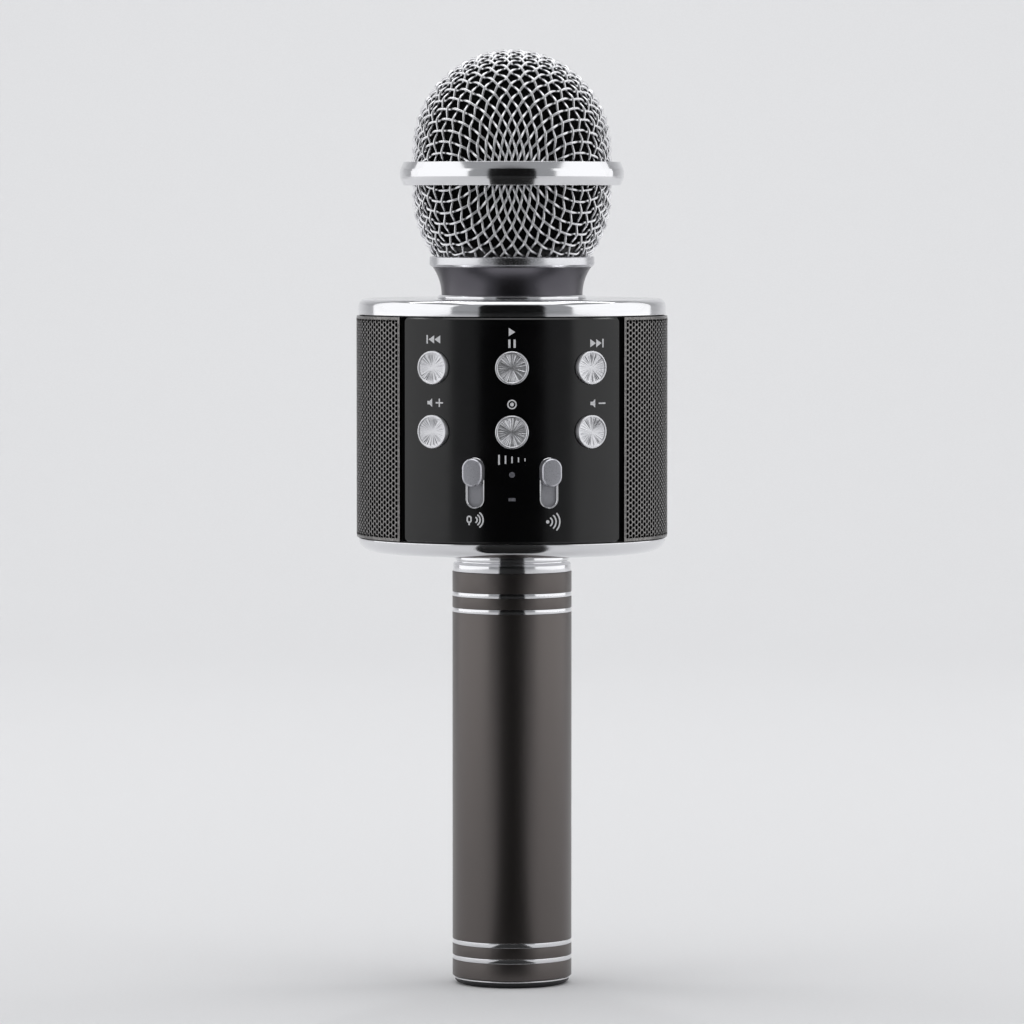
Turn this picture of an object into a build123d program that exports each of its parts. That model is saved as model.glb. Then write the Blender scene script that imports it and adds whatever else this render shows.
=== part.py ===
"""Handheld karaoke microphone with a speaker drum, built as separate pieces.

Frame: +Z up through the handle, the drum and the head. The control panel faces -Y, the ports face +Y.
The origin is the centre of the foot, on the surface that the microphone stands on. Sizes are in millimetres.
"""

import os
from math import acos, asin, cos, degrees, hypot, radians, sin, sqrt

from build123d import *

os.makedirs("parts", exist_ok=True)

# ---------------------------------------------------------------- driving dimensions
fit_gap = 0.1  # between pieces that are only assembled together
run_gap = 0.1  # round a piece that moves

# handle
handle_radius = 15.8
handle_wall = 1.6
handle_length = 107.65
handle_bevel = 0.4
stripe_width = 1.3
stripe_depth = 0.5
stripe_offsets = (4.65, 8.85)  # from the handle's lower end to each lower stripe
upper_stripe_offsets = (5.25, 9.45)  # from the handle's upper end to each upper stripe

# end cap, which screws into the handle
foot_height = 1.45
foot_bevel = 1.5
end_ring_height = 0.4
end_ring_inset = 0.45
end_spigot_length = 6.4
end_spigot_wall = 2.6
coin_slot_width = 1.8
coin_slot_depth = 0.8

# battery bay
cell_radius = 9.2
cell_length = 65.0
cell_lift = 12.0
sleeve_wall = 1.0
sleeve_ribs = 4
rib_width = 1.6
spring_radius = 5.0
spring_wire_radius = 0.45
spring_turns = 4

# collar between the handle and the drum
collar_height = 5.3
collar_inset = 0.2
collar_ring_height = 2.5
collar_bead_height = 1.4
collar_groove = 0.9
collar_spigot_length = 8.0
collar_bore = 8.0
collar_boss_radius = 11.0

# drum
drum_radius = 41.15
drum_height = 66.9
rim_inset = 0.55  # how far the caps' rims sit inside the grilles
bottom_cap_height = 3.7
top_cap_height = 4.2
cap_plate = 2.0
bottom_round = 3.2
top_round = 1.9
panel_gap = 0.3  # shadow gap between the caps and what stands between them
panel_inset = 0.2
panel_thickness = 2.1
panel_corner = 1.2
panel_bevel = 0.4
front_half_angle = 43.4
rear_half_angle = 28.0
channel_angle = 2.0
rib_angle = 3.0
grille_thickness = 0.8
cloth_thickness = 0.4
chassis_wall = 2.0
window_margin_angle = 4.0

# buttons
button_radius = 4.35
button_rise = 1.0
button_dish = 0.35
button_bevel = 0.35
button_travel = 0.5
button_flange_width = 0.75
button_flange_thickness = 0.8
button_stem_radius = 1.6
button_angle = 29.8
upper_row_height = 49.5  # above the drum's underside
lower_row_height = 32.9

# slide controls
slider_angle = 13.5
bezel_length = 13.2
bezel_width = 4.9
bezel_wall = 0.45
bezel_rise = 0.35
bezel_top_height = 26.3  # above the drum's underside
thumb_length = 7.3
thumb_width = 5.3
thumb_thickness = 3.2
thumb_edge = 0.45
thumb_neck_length = 6.0
thumb_neck_width = 3.2
shutter_thickness = 0.6
shutter_overlap = 0.7
slider_end_gap = 0.3
blade_width = 1.4
blade_length = 3.0

# indicator windows
lamp_radius = 0.75
lamp_height = 21.9
bar_size = (1.8, 0.8)
bar_height = 15.5

# boards
board_thickness = 1.6
board_depth = 8.0  # from the panel's back to the boards' front
switch_size = 6.0
switch_height = 3.2
switch_well_depth = 2.2
key_board_width = 9.0
pot_width = 6.6
pot_depth = 3.0

# speakers
speaker_radius = 20.0
speaker_flange_thickness = 1.2
basket_depth = 10.0
basket_rear_radius = 12.0
basket_wall = 0.6
basket_flange = 2.2
speaker_screw_inset = 1.1
magnet_height = 6.5
magnet_radius = 11.0
pole_radius = 4.5
coil_gap = 1.2
coil_wall = 0.4
cone_thickness = 0.5
cone_inset = 6.0
surround_width = 3.0
surround_thickness = 0.5
cap_radius = 6.4  # dust cap
cap_rise = 2.4
cap_seat = 0.42  # from the cone's back to the dust cap's edge
cone_travel = 0.8

# sockets on the back
jack_bore_radius = 1.8
jack_barrel_radius = 2.9
jack_length = 13.5
jack_proud = 0.3
jack_height = 46.0
usb_height = 33.0
usb_size = (2.9, 7.6)
usb_wall = 0.35
usb_depth = 6.5
card_height = 19.0
card_slot_size = (1.3, 11.6)
card_depth = 15.0

# neck and head
neck_height = 7.45
neck_foot_radius = 18.65
neck_top_radius = 21.0
neck_bore = 14.5
neck_boss_radius = 16.9
neck_trim_height = 0.9
neck_trim_width = 0.95
nut_height = 3.0
nut_width = 3.5
base_ring_height = 2.75
base_ring_radius = 21.8
base_ring_bevel = 0.6
mouth_radius = 20.9
mesh_thickness = 1.1
sleeve_length = 5.3
sleeve_thickness = 0.8
spigot_length = 4.7
head_radius = 26.4
lower_straight = 5.7
upper_straight = 6.5
band_height = 6.2
band_reach = 3.2
band_bevel = 0.9
band_bevel_height = 1.65
foam_thickness = 2.5

# capsule
capsule_radius = 10.9
capsule_height = 16.0
mount_wall = 2.0
mount_height = 8.6
mount_floor = 3.6
bulkhead_thickness = 2.0
lead_radius = 0.8
lead_hole_radius = 1.6

# fasteners
screw_radius = 1.2
screw_head_radius = 2.3
screw_head_height = 1.0
screw_length = 9.0
screw_recess = 0.2
case_screw_inset = 5.6
screw_boss_radius = 2.9
speaker_screw_length = 4.5

# ---------------------------------------------------------------- places that follow from them
handle_bottom = foot_height + end_ring_height
handle_top = handle_bottom + handle_length
handle_bore = handle_radius - handle_wall
drum_bottom = handle_top + collar_height
drum_top = drum_bottom + drum_height
rim_radius = drum_radius - rim_inset
skin_bottom = drum_bottom + bottom_cap_height + panel_gap
skin_top = drum_top - top_cap_height - panel_gap
skin_height = skin_top - skin_bottom
drum_middle = (skin_bottom + skin_top) / 2
panel_radius = drum_radius - panel_inset
panel_inner = panel_radius - panel_thickness
chassis_radius = panel_inner - fit_gap
chassis_inner = chassis_radius - chassis_wall
grille_inner = drum_radius - grille_thickness
grille_start = front_half_angle + channel_angle
grille_end = 180 - rear_half_angle - channel_angle

button_hole = button_radius + run_gap
button_rows = {"upper": drum_bottom + upper_row_height, "lower": drum_bottom + lower_row_height}

bezel_top = drum_bottom + bezel_top_height
bezel_middle = bezel_top - bezel_length / 2
bezel_opening = bezel_length - 2 * bezel_wall
slider_travel = bezel_opening - thumb_neck_length - 2 * slider_end_gap
thumb_z = bezel_top - bezel_wall - slider_end_gap - thumb_neck_length / 2
shutter_outer = panel_radius - 0.6
shutter_inner = shutter_outer - shutter_thickness
shutter_bottom = bezel_top - bezel_length + bezel_wall - shutter_overlap
shutter_top = bezel_top + slider_travel + shutter_overlap - bezel_wall
shutter_width = bezel_width + 0.7
pocket_outer = shutter_outer + 0.15
pocket_width = shutter_width + 2 * run_gap

board_front = panel_inner - board_depth
board_back = board_front - board_thickness
switch_top = board_front + switch_height
blade_tip = board_front + pot_depth - 1.4
slider_x = board_front * sin(radians(slider_angle))

speaker_face = sqrt((chassis_inner - fit_gap) ** 2 - speaker_radius**2)
speaker_window = speaker_radius - basket_flange
basket_top_radius = speaker_radius - basket_flange
cone_radius = speaker_radius - cone_inset
basket_back = speaker_face - basket_depth
magnet_back = basket_back - magnet_height
coil_radius = pole_radius + coil_gap / 2

neck_foot = drum_top + neck_trim_height
neck_top = neck_foot + neck_height
ring_top = neck_top + base_ring_height
mouth_drop = sqrt(head_radius**2 - mouth_radius**2)
mesh_inner = head_radius - mesh_thickness
mouth_inner = sqrt(mesh_inner**2 - mouth_drop**2)
lower_centre = ring_top + mouth_drop
seam_z = lower_centre + lower_straight
upper_centre = seam_z + upper_straight
sleeve_outer = mouth_inner - fit_gap
sleeve_inner = sleeve_outer - sleeve_thickness
spigot_radius = sleeve_inner - run_gap
spigot_top = neck_top + spigot_length
bulkhead_top = spigot_top + bulkhead_thickness
foam_outer = mesh_inner - fit_gap
foam_inner = foam_outer - foam_thickness
foam_bottom = ring_top - base_ring_height + sleeve_length + 2 * fit_gap
capsule_bottom = bulkhead_top + mount_floor
capsule_top = capsule_bottom + capsule_height


# ---------------------------------------------------------------- shared helpers
def front_point(radius, angle, z):
    """A point on a cylinder about Z. The angle is 0 at the front and grows towards +X."""
    return (radius * sin(radians(angle)), -radius * cos(radians(angle)), z)


def facing(radius, angle, z):
    """A plane that touches that cylinder, facing outwards, with its own X level and its own Y up."""
    a = radians(angle)
    return Plane(origin=front_point(radius, angle, z), x_dir=(cos(a), sin(a), 0), z_dir=(sin(a), -cos(a), 0))


def sector(inner, outer, start, end):
    """A face between two radii and two angles, on the current sketch."""
    with BuildLine() as outline:
        first = CenterArc((0, 0), outer, start - 90, end - start)
        second = CenterArc((0, 0), inner, start - 90, end - start)
        Line(first @ 0, second @ 0)
        Line(first @ 1, second @ 1)
    make_face(outline.edges())


def export(builder, name):
    """Labels a finished piece and writes it."""
    builder.part.label = name
    export_step(builder.part, f"parts/{name}.step")


def spin(points):
    """Adds a solid turned about Z from a closed outline of (radius, height) points."""
    with BuildSketch(Plane.XZ) as profile:
        with BuildLine():
            Polyline(*points, close=True)
        make_face()
    revolve(profile.sketch, axis=Axis.Z)


def tube_path(points, bend_radii, radius):
    """Adds a round wire along straight runs joined by tangent arcs."""
    with BuildLine() as route:
        FilletPolyline(*points, radius=bend_radii)
    with BuildSketch(Plane(origin=route.line @ 0, z_dir=route.line % 0)) as section:
        Circle(radius)
    sweep(section.sketch, path=route.line)


# ---------------------------------------------------------------- handle
with BuildPart() as handle_tube:
    with BuildSketch(Plane.XY.offset(handle_bottom)):
        Circle(handle_radius)
        Circle(handle_bore, mode=Mode.SUBTRACT)
    extrude(amount=handle_length)
    chamfer(
        handle_tube.edges().filter_by(GeomType.CIRCLE).group_by(Axis.Z)[0].sort_by(SortBy.RADIUS)[-1],
        handle_bevel,
    )
    stripe_levels = [handle_bottom + o for o in stripe_offsets]
    stripe_levels += [handle_top - o - stripe_width for o in upper_stripe_offsets]
    for level in stripe_levels:
        with BuildSketch(Plane.XY.offset(level)):
            Circle(handle_radius)
            Circle(handle_radius - stripe_depth, mode=Mode.SUBTRACT)
        extrude(amount=stripe_width, mode=Mode.SUBTRACT)
export(handle_tube, "handle_tube")

with BuildPart() as trim_rings:
    for level in stripe_levels:
        with BuildSketch(Plane.XY.offset(level)):
            Circle(handle_radius)
            Circle(handle_radius - stripe_depth, mode=Mode.SUBTRACT)
        extrude(amount=stripe_width)
export(trim_rings, "trim_rings")

# ---------------------------------------------------------------- end cap and battery bay
end_spigot_radius = handle_bore - run_gap
foot_radius = handle_radius - end_ring_inset - 0.15

with BuildPart() as end_cap:
    spin(
        [
            (0, 0),
            (foot_radius - foot_bevel, 0),
            (foot_radius, foot_height),
            (end_spigot_radius, foot_height),
            (end_spigot_radius, foot_height + end_spigot_length),
            (end_spigot_radius - end_spigot_wall, foot_height + end_spigot_length),
            (end_spigot_radius - end_spigot_wall, foot_height),
            (0, foot_height),
        ]
    )
    with BuildSketch(Plane.XY):
        SlotOverall(2 * (foot_radius - foot_bevel) * 0.6, coin_slot_width)
    extrude(amount=coin_slot_depth, mode=Mode.SUBTRACT)
export(end_cap, "end_cap")

with BuildPart() as end_cap_ring:
    with BuildSketch(Plane.XY.offset(foot_height)):
        Circle(handle_radius - end_ring_inset)
        Circle(end_spigot_radius + fit_gap, mode=Mode.SUBTRACT)
    extrude(amount=end_ring_height)
export(end_cap_ring, "end_cap_ring")

spring_height = cell_lift - foot_height - 2 * spring_wire_radius
with BuildPart() as battery_spring:
    with BuildLine() as coil:
        Helix(
            pitch=spring_height / spring_turns,
            height=spring_height,
            radius=spring_radius,
            center=(0, 0, foot_height + spring_wire_radius),
        )
    with BuildSketch(Plane(origin=coil.line @ 0, z_dir=coil.line % 0)):
        Circle(spring_wire_radius)
    sweep(path=coil.line, is_frenet=True)
export(battery_spring, "battery_spring")

with BuildPart() as battery_cell:
    with BuildSketch(Plane.XY.offset(cell_lift)):
        Circle(cell_radius)
    extrude(amount=cell_length - 1.0)
    fillet(battery_cell.edges().filter_by(GeomType.CIRCLE), 0.6)
    with BuildSketch(Plane.XY.offset(cell_lift + cell_length - 1.0)):
        Circle(3.0)
    extrude(amount=1.0)
export(battery_cell, "battery_cell")

cell_top = cell_lift + cell_length
sleeve_bore = cell_radius + run_gap
sleeve_bottom = foot_height + end_spigot_length + 1.0
with BuildPart() as battery_sleeve:
    with BuildSketch(Plane.XY.offset(sleeve_bottom)):
        Circle(sleeve_bore + sleeve_wall)
        with PolarLocations((handle_bore + sleeve_bore) / 2 - fit_gap / 2, sleeve_ribs, start_angle=45):
            Rectangle(handle_bore - sleeve_bore - fit_gap, rib_width)
        Circle(sleeve_bore, mode=Mode.SUBTRACT)
    extrude(amount=cell_top + 2.0 - sleeve_bottom)
    with BuildSketch(Plane.XY.offset(cell_top + 1.0)):
        Circle(sleeve_bore + sleeve_wall)
        Circle(3.5, mode=Mode.SUBTRACT)
    extrude(amount=2.0)
export(battery_sleeve, "battery_sleeve")

with BuildPart() as battery_contact:
    with BuildSketch(Plane.XY.offset(cell_top)):
        Circle(6.0)
    extrude(amount=0.6)
export(battery_contact, "battery_contact")

# ---------------------------------------------------------------- collar
collar_radius = handle_radius - collar_inset
bead_radius = collar_radius - collar_groove + 0.3
groove_radius = collar_radius - collar_groove
ring_shoulder = handle_top + collar_ring_height
bead_bottom = drum_bottom - collar_bead_height - 1.0
with BuildPart() as handle_collar:
    spin(
        [
            (collar_bore, handle_top - collar_spigot_length),
            (handle_bore - 0.02, handle_top - collar_spigot_length),
            (handle_bore - 0.02, handle_top),
            (collar_radius, handle_top),
            (collar_radius, ring_shoulder - 0.5),
            (collar_radius - 0.5, ring_shoulder),
            (groove_radius, ring_shoulder),
            (groove_radius, bead_bottom),
            (bead_radius, bead_bottom + 0.2),
            (bead_radius, bead_bottom + collar_bead_height - 0.2),
            (groove_radius, bead_bottom + collar_bead_height),
            (groove_radius, drum_bottom),
            (collar_boss_radius, drum_bottom),
            (collar_boss_radius, drum_bottom + cap_plate + nut_height),
            (collar_bore, drum_bottom + cap_plate + nut_height),
        ]
    )
export(handle_collar, "handle_collar")


def spanner_nut(bore, bottom):
    """Adds a ring nut with four notches in its rim."""
    with BuildSketch(Plane.XY.offset(bottom)) as profile:
        Circle(bore + nut_width)
        Circle(bore, mode=Mode.SUBTRACT)
        with PolarLocations(bore + nut_width, 4):
            Rectangle(1.6, 2.4, mode=Mode.SUBTRACT)
    extrude(profile.sketch, amount=nut_height)


with BuildPart() as collar_nut:
    spanner_nut(collar_boss_radius + fit_gap, drum_bottom + cap_plate)
export(collar_nut, "collar_nut")

with BuildPart() as battery_leads:
    for side in (-1, 1):
        tube_path(
            [
                (side * 2.2, 0, cell_top + 0.6),
                (side * 2.2, 0, drum_bottom + 14),
                (side * 2.2, -board_back, drum_bottom + 14),
            ],
            5.0,
            0.7,
        )
export(battery_leads, "battery_leads")

# ---------------------------------------------------------------- drum caps
case_screw_radius = chassis_inner - case_screw_inset
with BuildPart() as bottom_cap:
    with BuildSketch(Plane.XY.offset(drum_bottom)):
        Circle(rim_radius)
    extrude(amount=bottom_cap_height)
    fillet(bottom_cap.edges().filter_by(GeomType.CIRCLE).group_by(Axis.Z)[0], bottom_round)
    with BuildSketch(Plane.XY.offset(drum_bottom + cap_plate)):
        Circle(chassis_radius + fit_gap)
    extrude(amount=bottom_cap_height, mode=Mode.SUBTRACT)
    with BuildSketch(Plane.XY.offset(drum_bottom)):
        Circle(collar_boss_radius + fit_gap)
        with PolarLocations(case_screw_radius, 4, start_angle=45):
            Circle(screw_radius + fit_gap)
    extrude(amount=cap_plate, mode=Mode.SUBTRACT)
    with BuildSketch(Plane.XY.offset(drum_bottom)):
        with PolarLocations(case_screw_radius, 4, start_angle=45):
            Circle(screw_head_radius + fit_gap)
    extrude(amount=screw_recess + screw_head_height, mode=Mode.SUBTRACT)
export(bottom_cap, "bottom_cap")

with BuildPart() as top_cap:
    with BuildSketch(Plane.XY.offset(drum_top - top_cap_height)):
        Circle(rim_radius)
    extrude(amount=top_cap_height)
    fillet(top_cap.edges().filter_by(GeomType.CIRCLE).group_by(Axis.Z)[-1], top_round)
    with BuildSketch(Plane.XY.offset(drum_top - top_cap_height)):
        Circle(chassis_radius + fit_gap)
    extrude(amount=top_cap_height - cap_plate, mode=Mode.SUBTRACT)
    with BuildSketch(Plane.XY.offset(drum_top - cap_plate)):
        Circle(neck_boss_radius + fit_gap)
    extrude(amount=cap_plate, mode=Mode.SUBTRACT)
export(top_cap, "top_cap")

# ---------------------------------------------------------------- chassis
chassis_bottom = drum_bottom + cap_plate + fit_gap
chassis_top = drum_top - cap_plate - fit_gap
window_bottom = drum_bottom + 6.0
window_top = drum_top - 10.0
screw_seat = drum_bottom + screw_recess + screw_head_height

with BuildPart() as chassis:
    with BuildSketch(Plane.XY.offset(chassis_bottom)):
        Circle(chassis_radius)
        Circle(chassis_inner, mode=Mode.SUBTRACT)
    extrude(amount=chassis_top - chassis_bottom)
    # ribs that carry the grilles' edges
    rib_starts = [grille_start, -grille_start - rib_angle, grille_end - rib_angle, 360 - grille_end]
    with BuildSketch(Plane.XY.offset(skin_bottom)):
        for start in rib_starts:
            sector(chassis_radius - 0.5, grille_inner - fit_gap, start, start + rib_angle)
    extrude(amount=skin_height)
    # bosses for the case screws
    with BuildSketch(Plane.XY.offset(chassis_bottom)):
        with PolarLocations(case_screw_radius, 4, start_angle=45):
            Circle(screw_boss_radius)
        with PolarLocations((case_screw_radius + chassis_inner) / 2 + 0.5, 4, start_angle=45):
            Rectangle(chassis_inner - case_screw_radius + 1, 1.6)
    extrude(amount=screw_length)
    with BuildSketch(Plane.XY.offset(chassis_bottom)):
        with PolarLocations(case_screw_radius, 4, start_angle=45):
            Circle(screw_radius)
    extrude(amount=screw_length, mode=Mode.SUBTRACT)
    # rings that the speakers sit against, kept inside the chassis wall
    for side in (-1, 1):
        with BuildSketch(Plane(origin=(side * speaker_face, 0, drum_middle), z_dir=(side, 0, 0))):
            Circle(speaker_radius)
        extrude(amount=chassis_radius - speaker_face)
    with BuildSketch(Plane.XY.offset(chassis_bottom)):
        Circle(chassis_radius + 20)
        Circle(grille_inner - fit_gap, mode=Mode.SUBTRACT)
    extrude(amount=chassis_top - chassis_bottom, mode=Mode.SUBTRACT)
    with BuildSketch(Plane.XY.offset(skin_bottom)):
        sector(chassis_radius, drum_radius, grille_start + rib_angle, grille_end - rib_angle)
        sector(chassis_radius, drum_radius, 360 - grille_end + rib_angle, 360 - grille_start - rib_angle)
    extrude(amount=skin_height, mode=Mode.SUBTRACT)
    for side in (-1, 1):
        with BuildSketch(Plane(origin=(0, 0, drum_middle), z_dir=(side, 0, 0))):
            Circle(speaker_window)
            with PolarLocations(speaker_radius - speaker_screw_inset, 4, start_angle=45):
                Circle(0.8)
        extrude(amount=drum_radius, mode=Mode.SUBTRACT)
    # windows behind the panels
    with BuildSketch(Plane.XY.offset(window_bottom)):
        sector(
            chassis_inner - 1,
            chassis_radius + 0.05,
            window_margin_angle - front_half_angle,
            front_half_angle - window_margin_angle,
        )
        sector(
            chassis_inner - 1,
            chassis_radius + 0.05,
            180 - rear_half_angle + window_margin_angle,
            180 + rear_half_angle - window_margin_angle,
        )
    extrude(amount=window_top - window_bottom, mode=Mode.SUBTRACT)
export(chassis, "chassis")

# ---------------------------------------------------------------- panels
with BuildPart() as front_panel:
    with BuildSketch(Plane.XY.offset(skin_bottom)):
        sector(panel_inner, panel_radius, -front_half_angle, front_half_angle)
    extrude(amount=skin_height)
    fillet(front_panel.edges().filter_by(GeomType.LINE).filter_by(Axis.Z, reverse=True), panel_corner)
    upright = front_panel.edges().filter_by(Axis.Z)
    chamfer(upright.filter_by(lambda e: hypot(e.center().X, e.center().Y) > panel_inner + 1), panel_bevel)
    for angle in (-button_angle, 0, button_angle):
        for z in button_rows.values():
            with BuildSketch(facing(panel_inner - 3, angle, z)):
                Circle(button_radius + run_gap)
            extrude(amount=8, mode=Mode.SUBTRACT)
    for angle in (-slider_angle, slider_angle):
        with BuildSketch(facing(panel_inner - 3, angle, bezel_middle)):
            SlotOverall(bezel_length + 2 * 0.02, bezel_width + 2 * 0.02, rotation=90)
        extrude(amount=8, mode=Mode.SUBTRACT)
    with BuildSketch(facing(panel_inner - 3, 0, drum_bottom + lamp_height)):
        Circle(lamp_radius + 0.02)
    extrude(amount=8, mode=Mode.SUBTRACT)
    with BuildSketch(facing(panel_inner - 3, 0, drum_bottom + bar_height)):
        Rectangle(bar_size[0] + 0.04, bar_size[1] + 0.04)
    extrude(amount=8, mode=Mode.SUBTRACT)
    # pockets behind the sliders' bezels, where the shutters run
    for angle in (-slider_angle, slider_angle):
        with BuildSketch(facing(panel_inner - 3, angle, (shutter_bottom - slider_travel + shutter_top) / 2)):
            Rectangle(pocket_width, shutter_top - shutter_bottom + slider_travel + 2)
        extrude(amount=pocket_outer - panel_inner + 3, mode=Mode.SUBTRACT)
export(front_panel, "front_panel")

with BuildPart() as rear_panel:
    with BuildSketch(Plane.XY.offset(skin_bottom)):
        sector(panel_inner, panel_radius, 180 - rear_half_angle, 180 + rear_half_angle)
    extrude(amount=skin_height)
    with BuildSketch(facing(panel_inner - 3, 180, drum_bottom + jack_height)):
        Circle(jack_barrel_radius + 0.02)
    extrude(amount=8, mode=Mode.SUBTRACT)
    with BuildSketch(facing(panel_inner - 3, 180, drum_bottom + usb_height)):
        Rectangle(usb_size[1] + 0.04, usb_size[0] + 0.04)
    extrude(amount=8, mode=Mode.SUBTRACT)
    with BuildSketch(facing(panel_inner - 3, 180, drum_bottom + card_height)):
        Rectangle(card_slot_size[1], card_slot_size[0])
    extrude(amount=8, mode=Mode.SUBTRACT)
export(rear_panel, "rear_panel")

# ---------------------------------------------------------------- grilles and cloths
for side, name in ((1, "right"), (-1, "left")):
    first_angle = grille_start if side > 0 else 360 - grille_end
    last_angle = grille_end if side > 0 else 360 - grille_start
    with BuildPart() as grille:
        with BuildSketch(Plane.XY.offset(skin_bottom)):
            sector(grille_inner, drum_radius, first_angle, last_angle)
        extrude(amount=skin_height)
    export(grille, f"{name}_grille")

cloth_start = grille_start + rib_angle + 0.3
cloth_end = grille_end - rib_angle - 0.3
with BuildPart() as grille_cloths:
    with BuildSketch(Plane.XY.offset(skin_bottom + 0.5)):
        sector(grille_inner - cloth_thickness, grille_inner, cloth_start, cloth_end)
        sector(grille_inner - cloth_thickness, grille_inner, 360 - cloth_end, 360 - cloth_start)
    extrude(amount=skin_height - 1)
export(grille_cloths, "grille_cloths")

# ---------------------------------------------------------------- buttons and their switches
flange_front = sqrt(panel_inner**2 - (button_radius + button_flange_width) ** 2) - 0.05
flange_back = flange_front - button_flange_thickness
stem_tip = switch_top - switch_well_depth + button_travel + 0.1
button_names = {
    ("upper", -button_angle): "previous_button",
    ("upper", 0): "play_button",
    ("upper", button_angle): "next_button",
    ("lower", -button_angle): "volume_up_button",
    ("lower", 0): "record_button",
    ("lower", button_angle): "volume_down_button",
}
face_radius = panel_radius + button_rise
for (row, angle), name in button_names.items():
    z = button_rows[row]
    with BuildPart() as button:
        with BuildSketch(facing(stem_tip, angle, z)):
            Circle(button_stem_radius)
        extrude(amount=flange_back - stem_tip)
        with BuildSketch(facing(flange_back, angle, z)):
            Circle(button_radius + button_flange_width)
        extrude(amount=button_flange_thickness)
        with BuildSketch(facing(flange_front, angle, z)):
            Circle(button_radius)
        extrude(amount=face_radius - flange_front)
        chamfer(button.faces().sort_by_distance(front_point(60, angle, z))[0].edges(), button_bevel)
        with BuildSketch(facing(face_radius - button_dish, angle, z)):
            Circle(button_radius - 1.0)
        extrude(amount=button_dish, taper=-60, mode=Mode.SUBTRACT)
    export(button, name)

with BuildPart() as tact_switches:
    for row, angle in button_names:
        with BuildSketch(facing(board_front, angle, button_rows[row])):
            Rectangle(switch_size, switch_size)
        extrude(amount=switch_height)
        with BuildSketch(facing(switch_top - switch_well_depth, angle, button_rows[row])):
            Circle(button_stem_radius + run_gap)
        extrude(amount=switch_well_depth, mode=Mode.SUBTRACT)
export(tact_switches, "tact_switches")

# ---------------------------------------------------------------- boards
board_bottom = drum_bottom + cap_plate + 9.0
board_top = drum_top - 12.0
with BuildPart() as main_board:
    with BuildSketch(facing(board_back, 0, (board_bottom + board_top) / 2)):
        Rectangle(25.0, board_top - board_bottom)
    extrude(amount=board_thickness)
export(main_board, "main_board")

with BuildPart() as key_boards:
    for angle in (-button_angle, button_angle):
        with BuildSketch(facing(board_back, angle, (board_bottom + board_top) / 2 + 6)):
            Rectangle(key_board_width, board_top - board_bottom - 12)
        extrude(amount=board_thickness)
export(key_boards, "key_boards")

rear_board_bottom = drum_bottom + 12
rear_board_top = drum_bottom + 53
rear_board_front = panel_inner - jack_length + jack_proud - 0.8
with BuildPart() as port_board:
    rear_board_middle = (rear_board_bottom + rear_board_top) / 2
    with BuildSketch(facing(rear_board_front - board_thickness, 180, rear_board_middle)):
        Rectangle(20.0, rear_board_top - rear_board_bottom)
    extrude(amount=board_thickness)
export(port_board, "port_board")

# ---------------------------------------------------------------- sockets
with BuildPart() as audio_jack:
    with BuildSketch(facing(rear_board_front, 180, drum_bottom + jack_height)):
        Rectangle(9.0, 8.0)
    extrude(amount=panel_inner - 1.5 - rear_board_front)
    with BuildSketch(facing(panel_inner - 1.5, 180, drum_bottom + jack_height)):
        Circle(jack_barrel_radius)
    extrude(amount=panel_radius + jack_proud - panel_inner + 1.5)
    with BuildSketch(facing(panel_radius + jack_proud - jack_length, 180, drum_bottom + jack_height)):
        Circle(jack_bore_radius)
    extrude(amount=jack_length, mode=Mode.SUBTRACT)
export(audio_jack, "audio_jack")

usb_face = panel_radius - 0.1
with BuildPart() as usb_port:
    with BuildSketch(facing(usb_face - usb_depth, 180, drum_bottom + usb_height)):
        Rectangle(usb_size[1], usb_size[0])
    extrude(amount=usb_depth)
    with BuildSketch(facing(usb_face - usb_depth + 0.5, 180, drum_bottom + usb_height)):
        Rectangle(usb_size[1] - 2 * usb_wall, usb_size[0] - 2 * usb_wall)
    extrude(amount=usb_depth, mode=Mode.SUBTRACT)
    with BuildSketch(facing(usb_face - usb_depth + 0.5, 180, drum_bottom + usb_height)):
        Rectangle(usb_size[1] - 3.0, 0.6)
    extrude(amount=usb_depth - 1.5)
    with BuildSketch(facing(rear_board_front, 180, drum_bottom + usb_height)):
        Rectangle(usb_size[1] - 1, usb_size[0] - 0.8)
    extrude(amount=usb_face - usb_depth - rear_board_front)
export(usb_port, "usb_port")

card_face = panel_inner - 1.0
with BuildPart() as card_socket:
    with BuildSketch(facing(rear_board_front, 180, drum_bottom + card_height)):
        Rectangle(card_slot_size[1] + 2.4, card_slot_size[0] + 1.2)
    extrude(amount=card_face - rear_board_front)
    with BuildSketch(facing(rear_board_front + 1, 180, drum_bottom + card_height)):
        Rectangle(card_slot_size[1], card_slot_size[0])
    extrude(amount=card_face - rear_board_front, mode=Mode.SUBTRACT)
export(card_socket, "card_socket")

# ---------------------------------------------------------------- slide controls
for side, name in ((-1, "microphone"), (1, "echo")):
    angle = side * slider_angle
    with BuildPart() as thumb:
        with BuildSketch(facing(shutter_inner, angle, (shutter_bottom + shutter_top) / 2)):
            Rectangle(shutter_width, shutter_top - shutter_bottom)
        extrude(amount=shutter_thickness)
        with BuildSketch(facing(shutter_outer, angle, thumb_z)):
            SlotOverall(thumb_neck_length, thumb_neck_width, rotation=90)
        extrude(amount=panel_radius + bezel_rise + run_gap - shutter_outer)
        with BuildSketch(facing(panel_radius + bezel_rise + run_gap, angle, thumb_z)):
            SlotOverall(thumb_length, thumb_width, rotation=90)
        extrude(amount=thumb_thickness)
        fillet(thumb.faces().sort_by_distance(front_point(60, angle, thumb_z))[0].edges(), thumb_edge)
        with BuildSketch(facing(blade_tip, angle, thumb_z)):
            Rectangle(blade_width, blade_length)
        extrude(amount=shutter_inner - blade_tip)
    export(thumb, f"{name}_slider")

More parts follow.
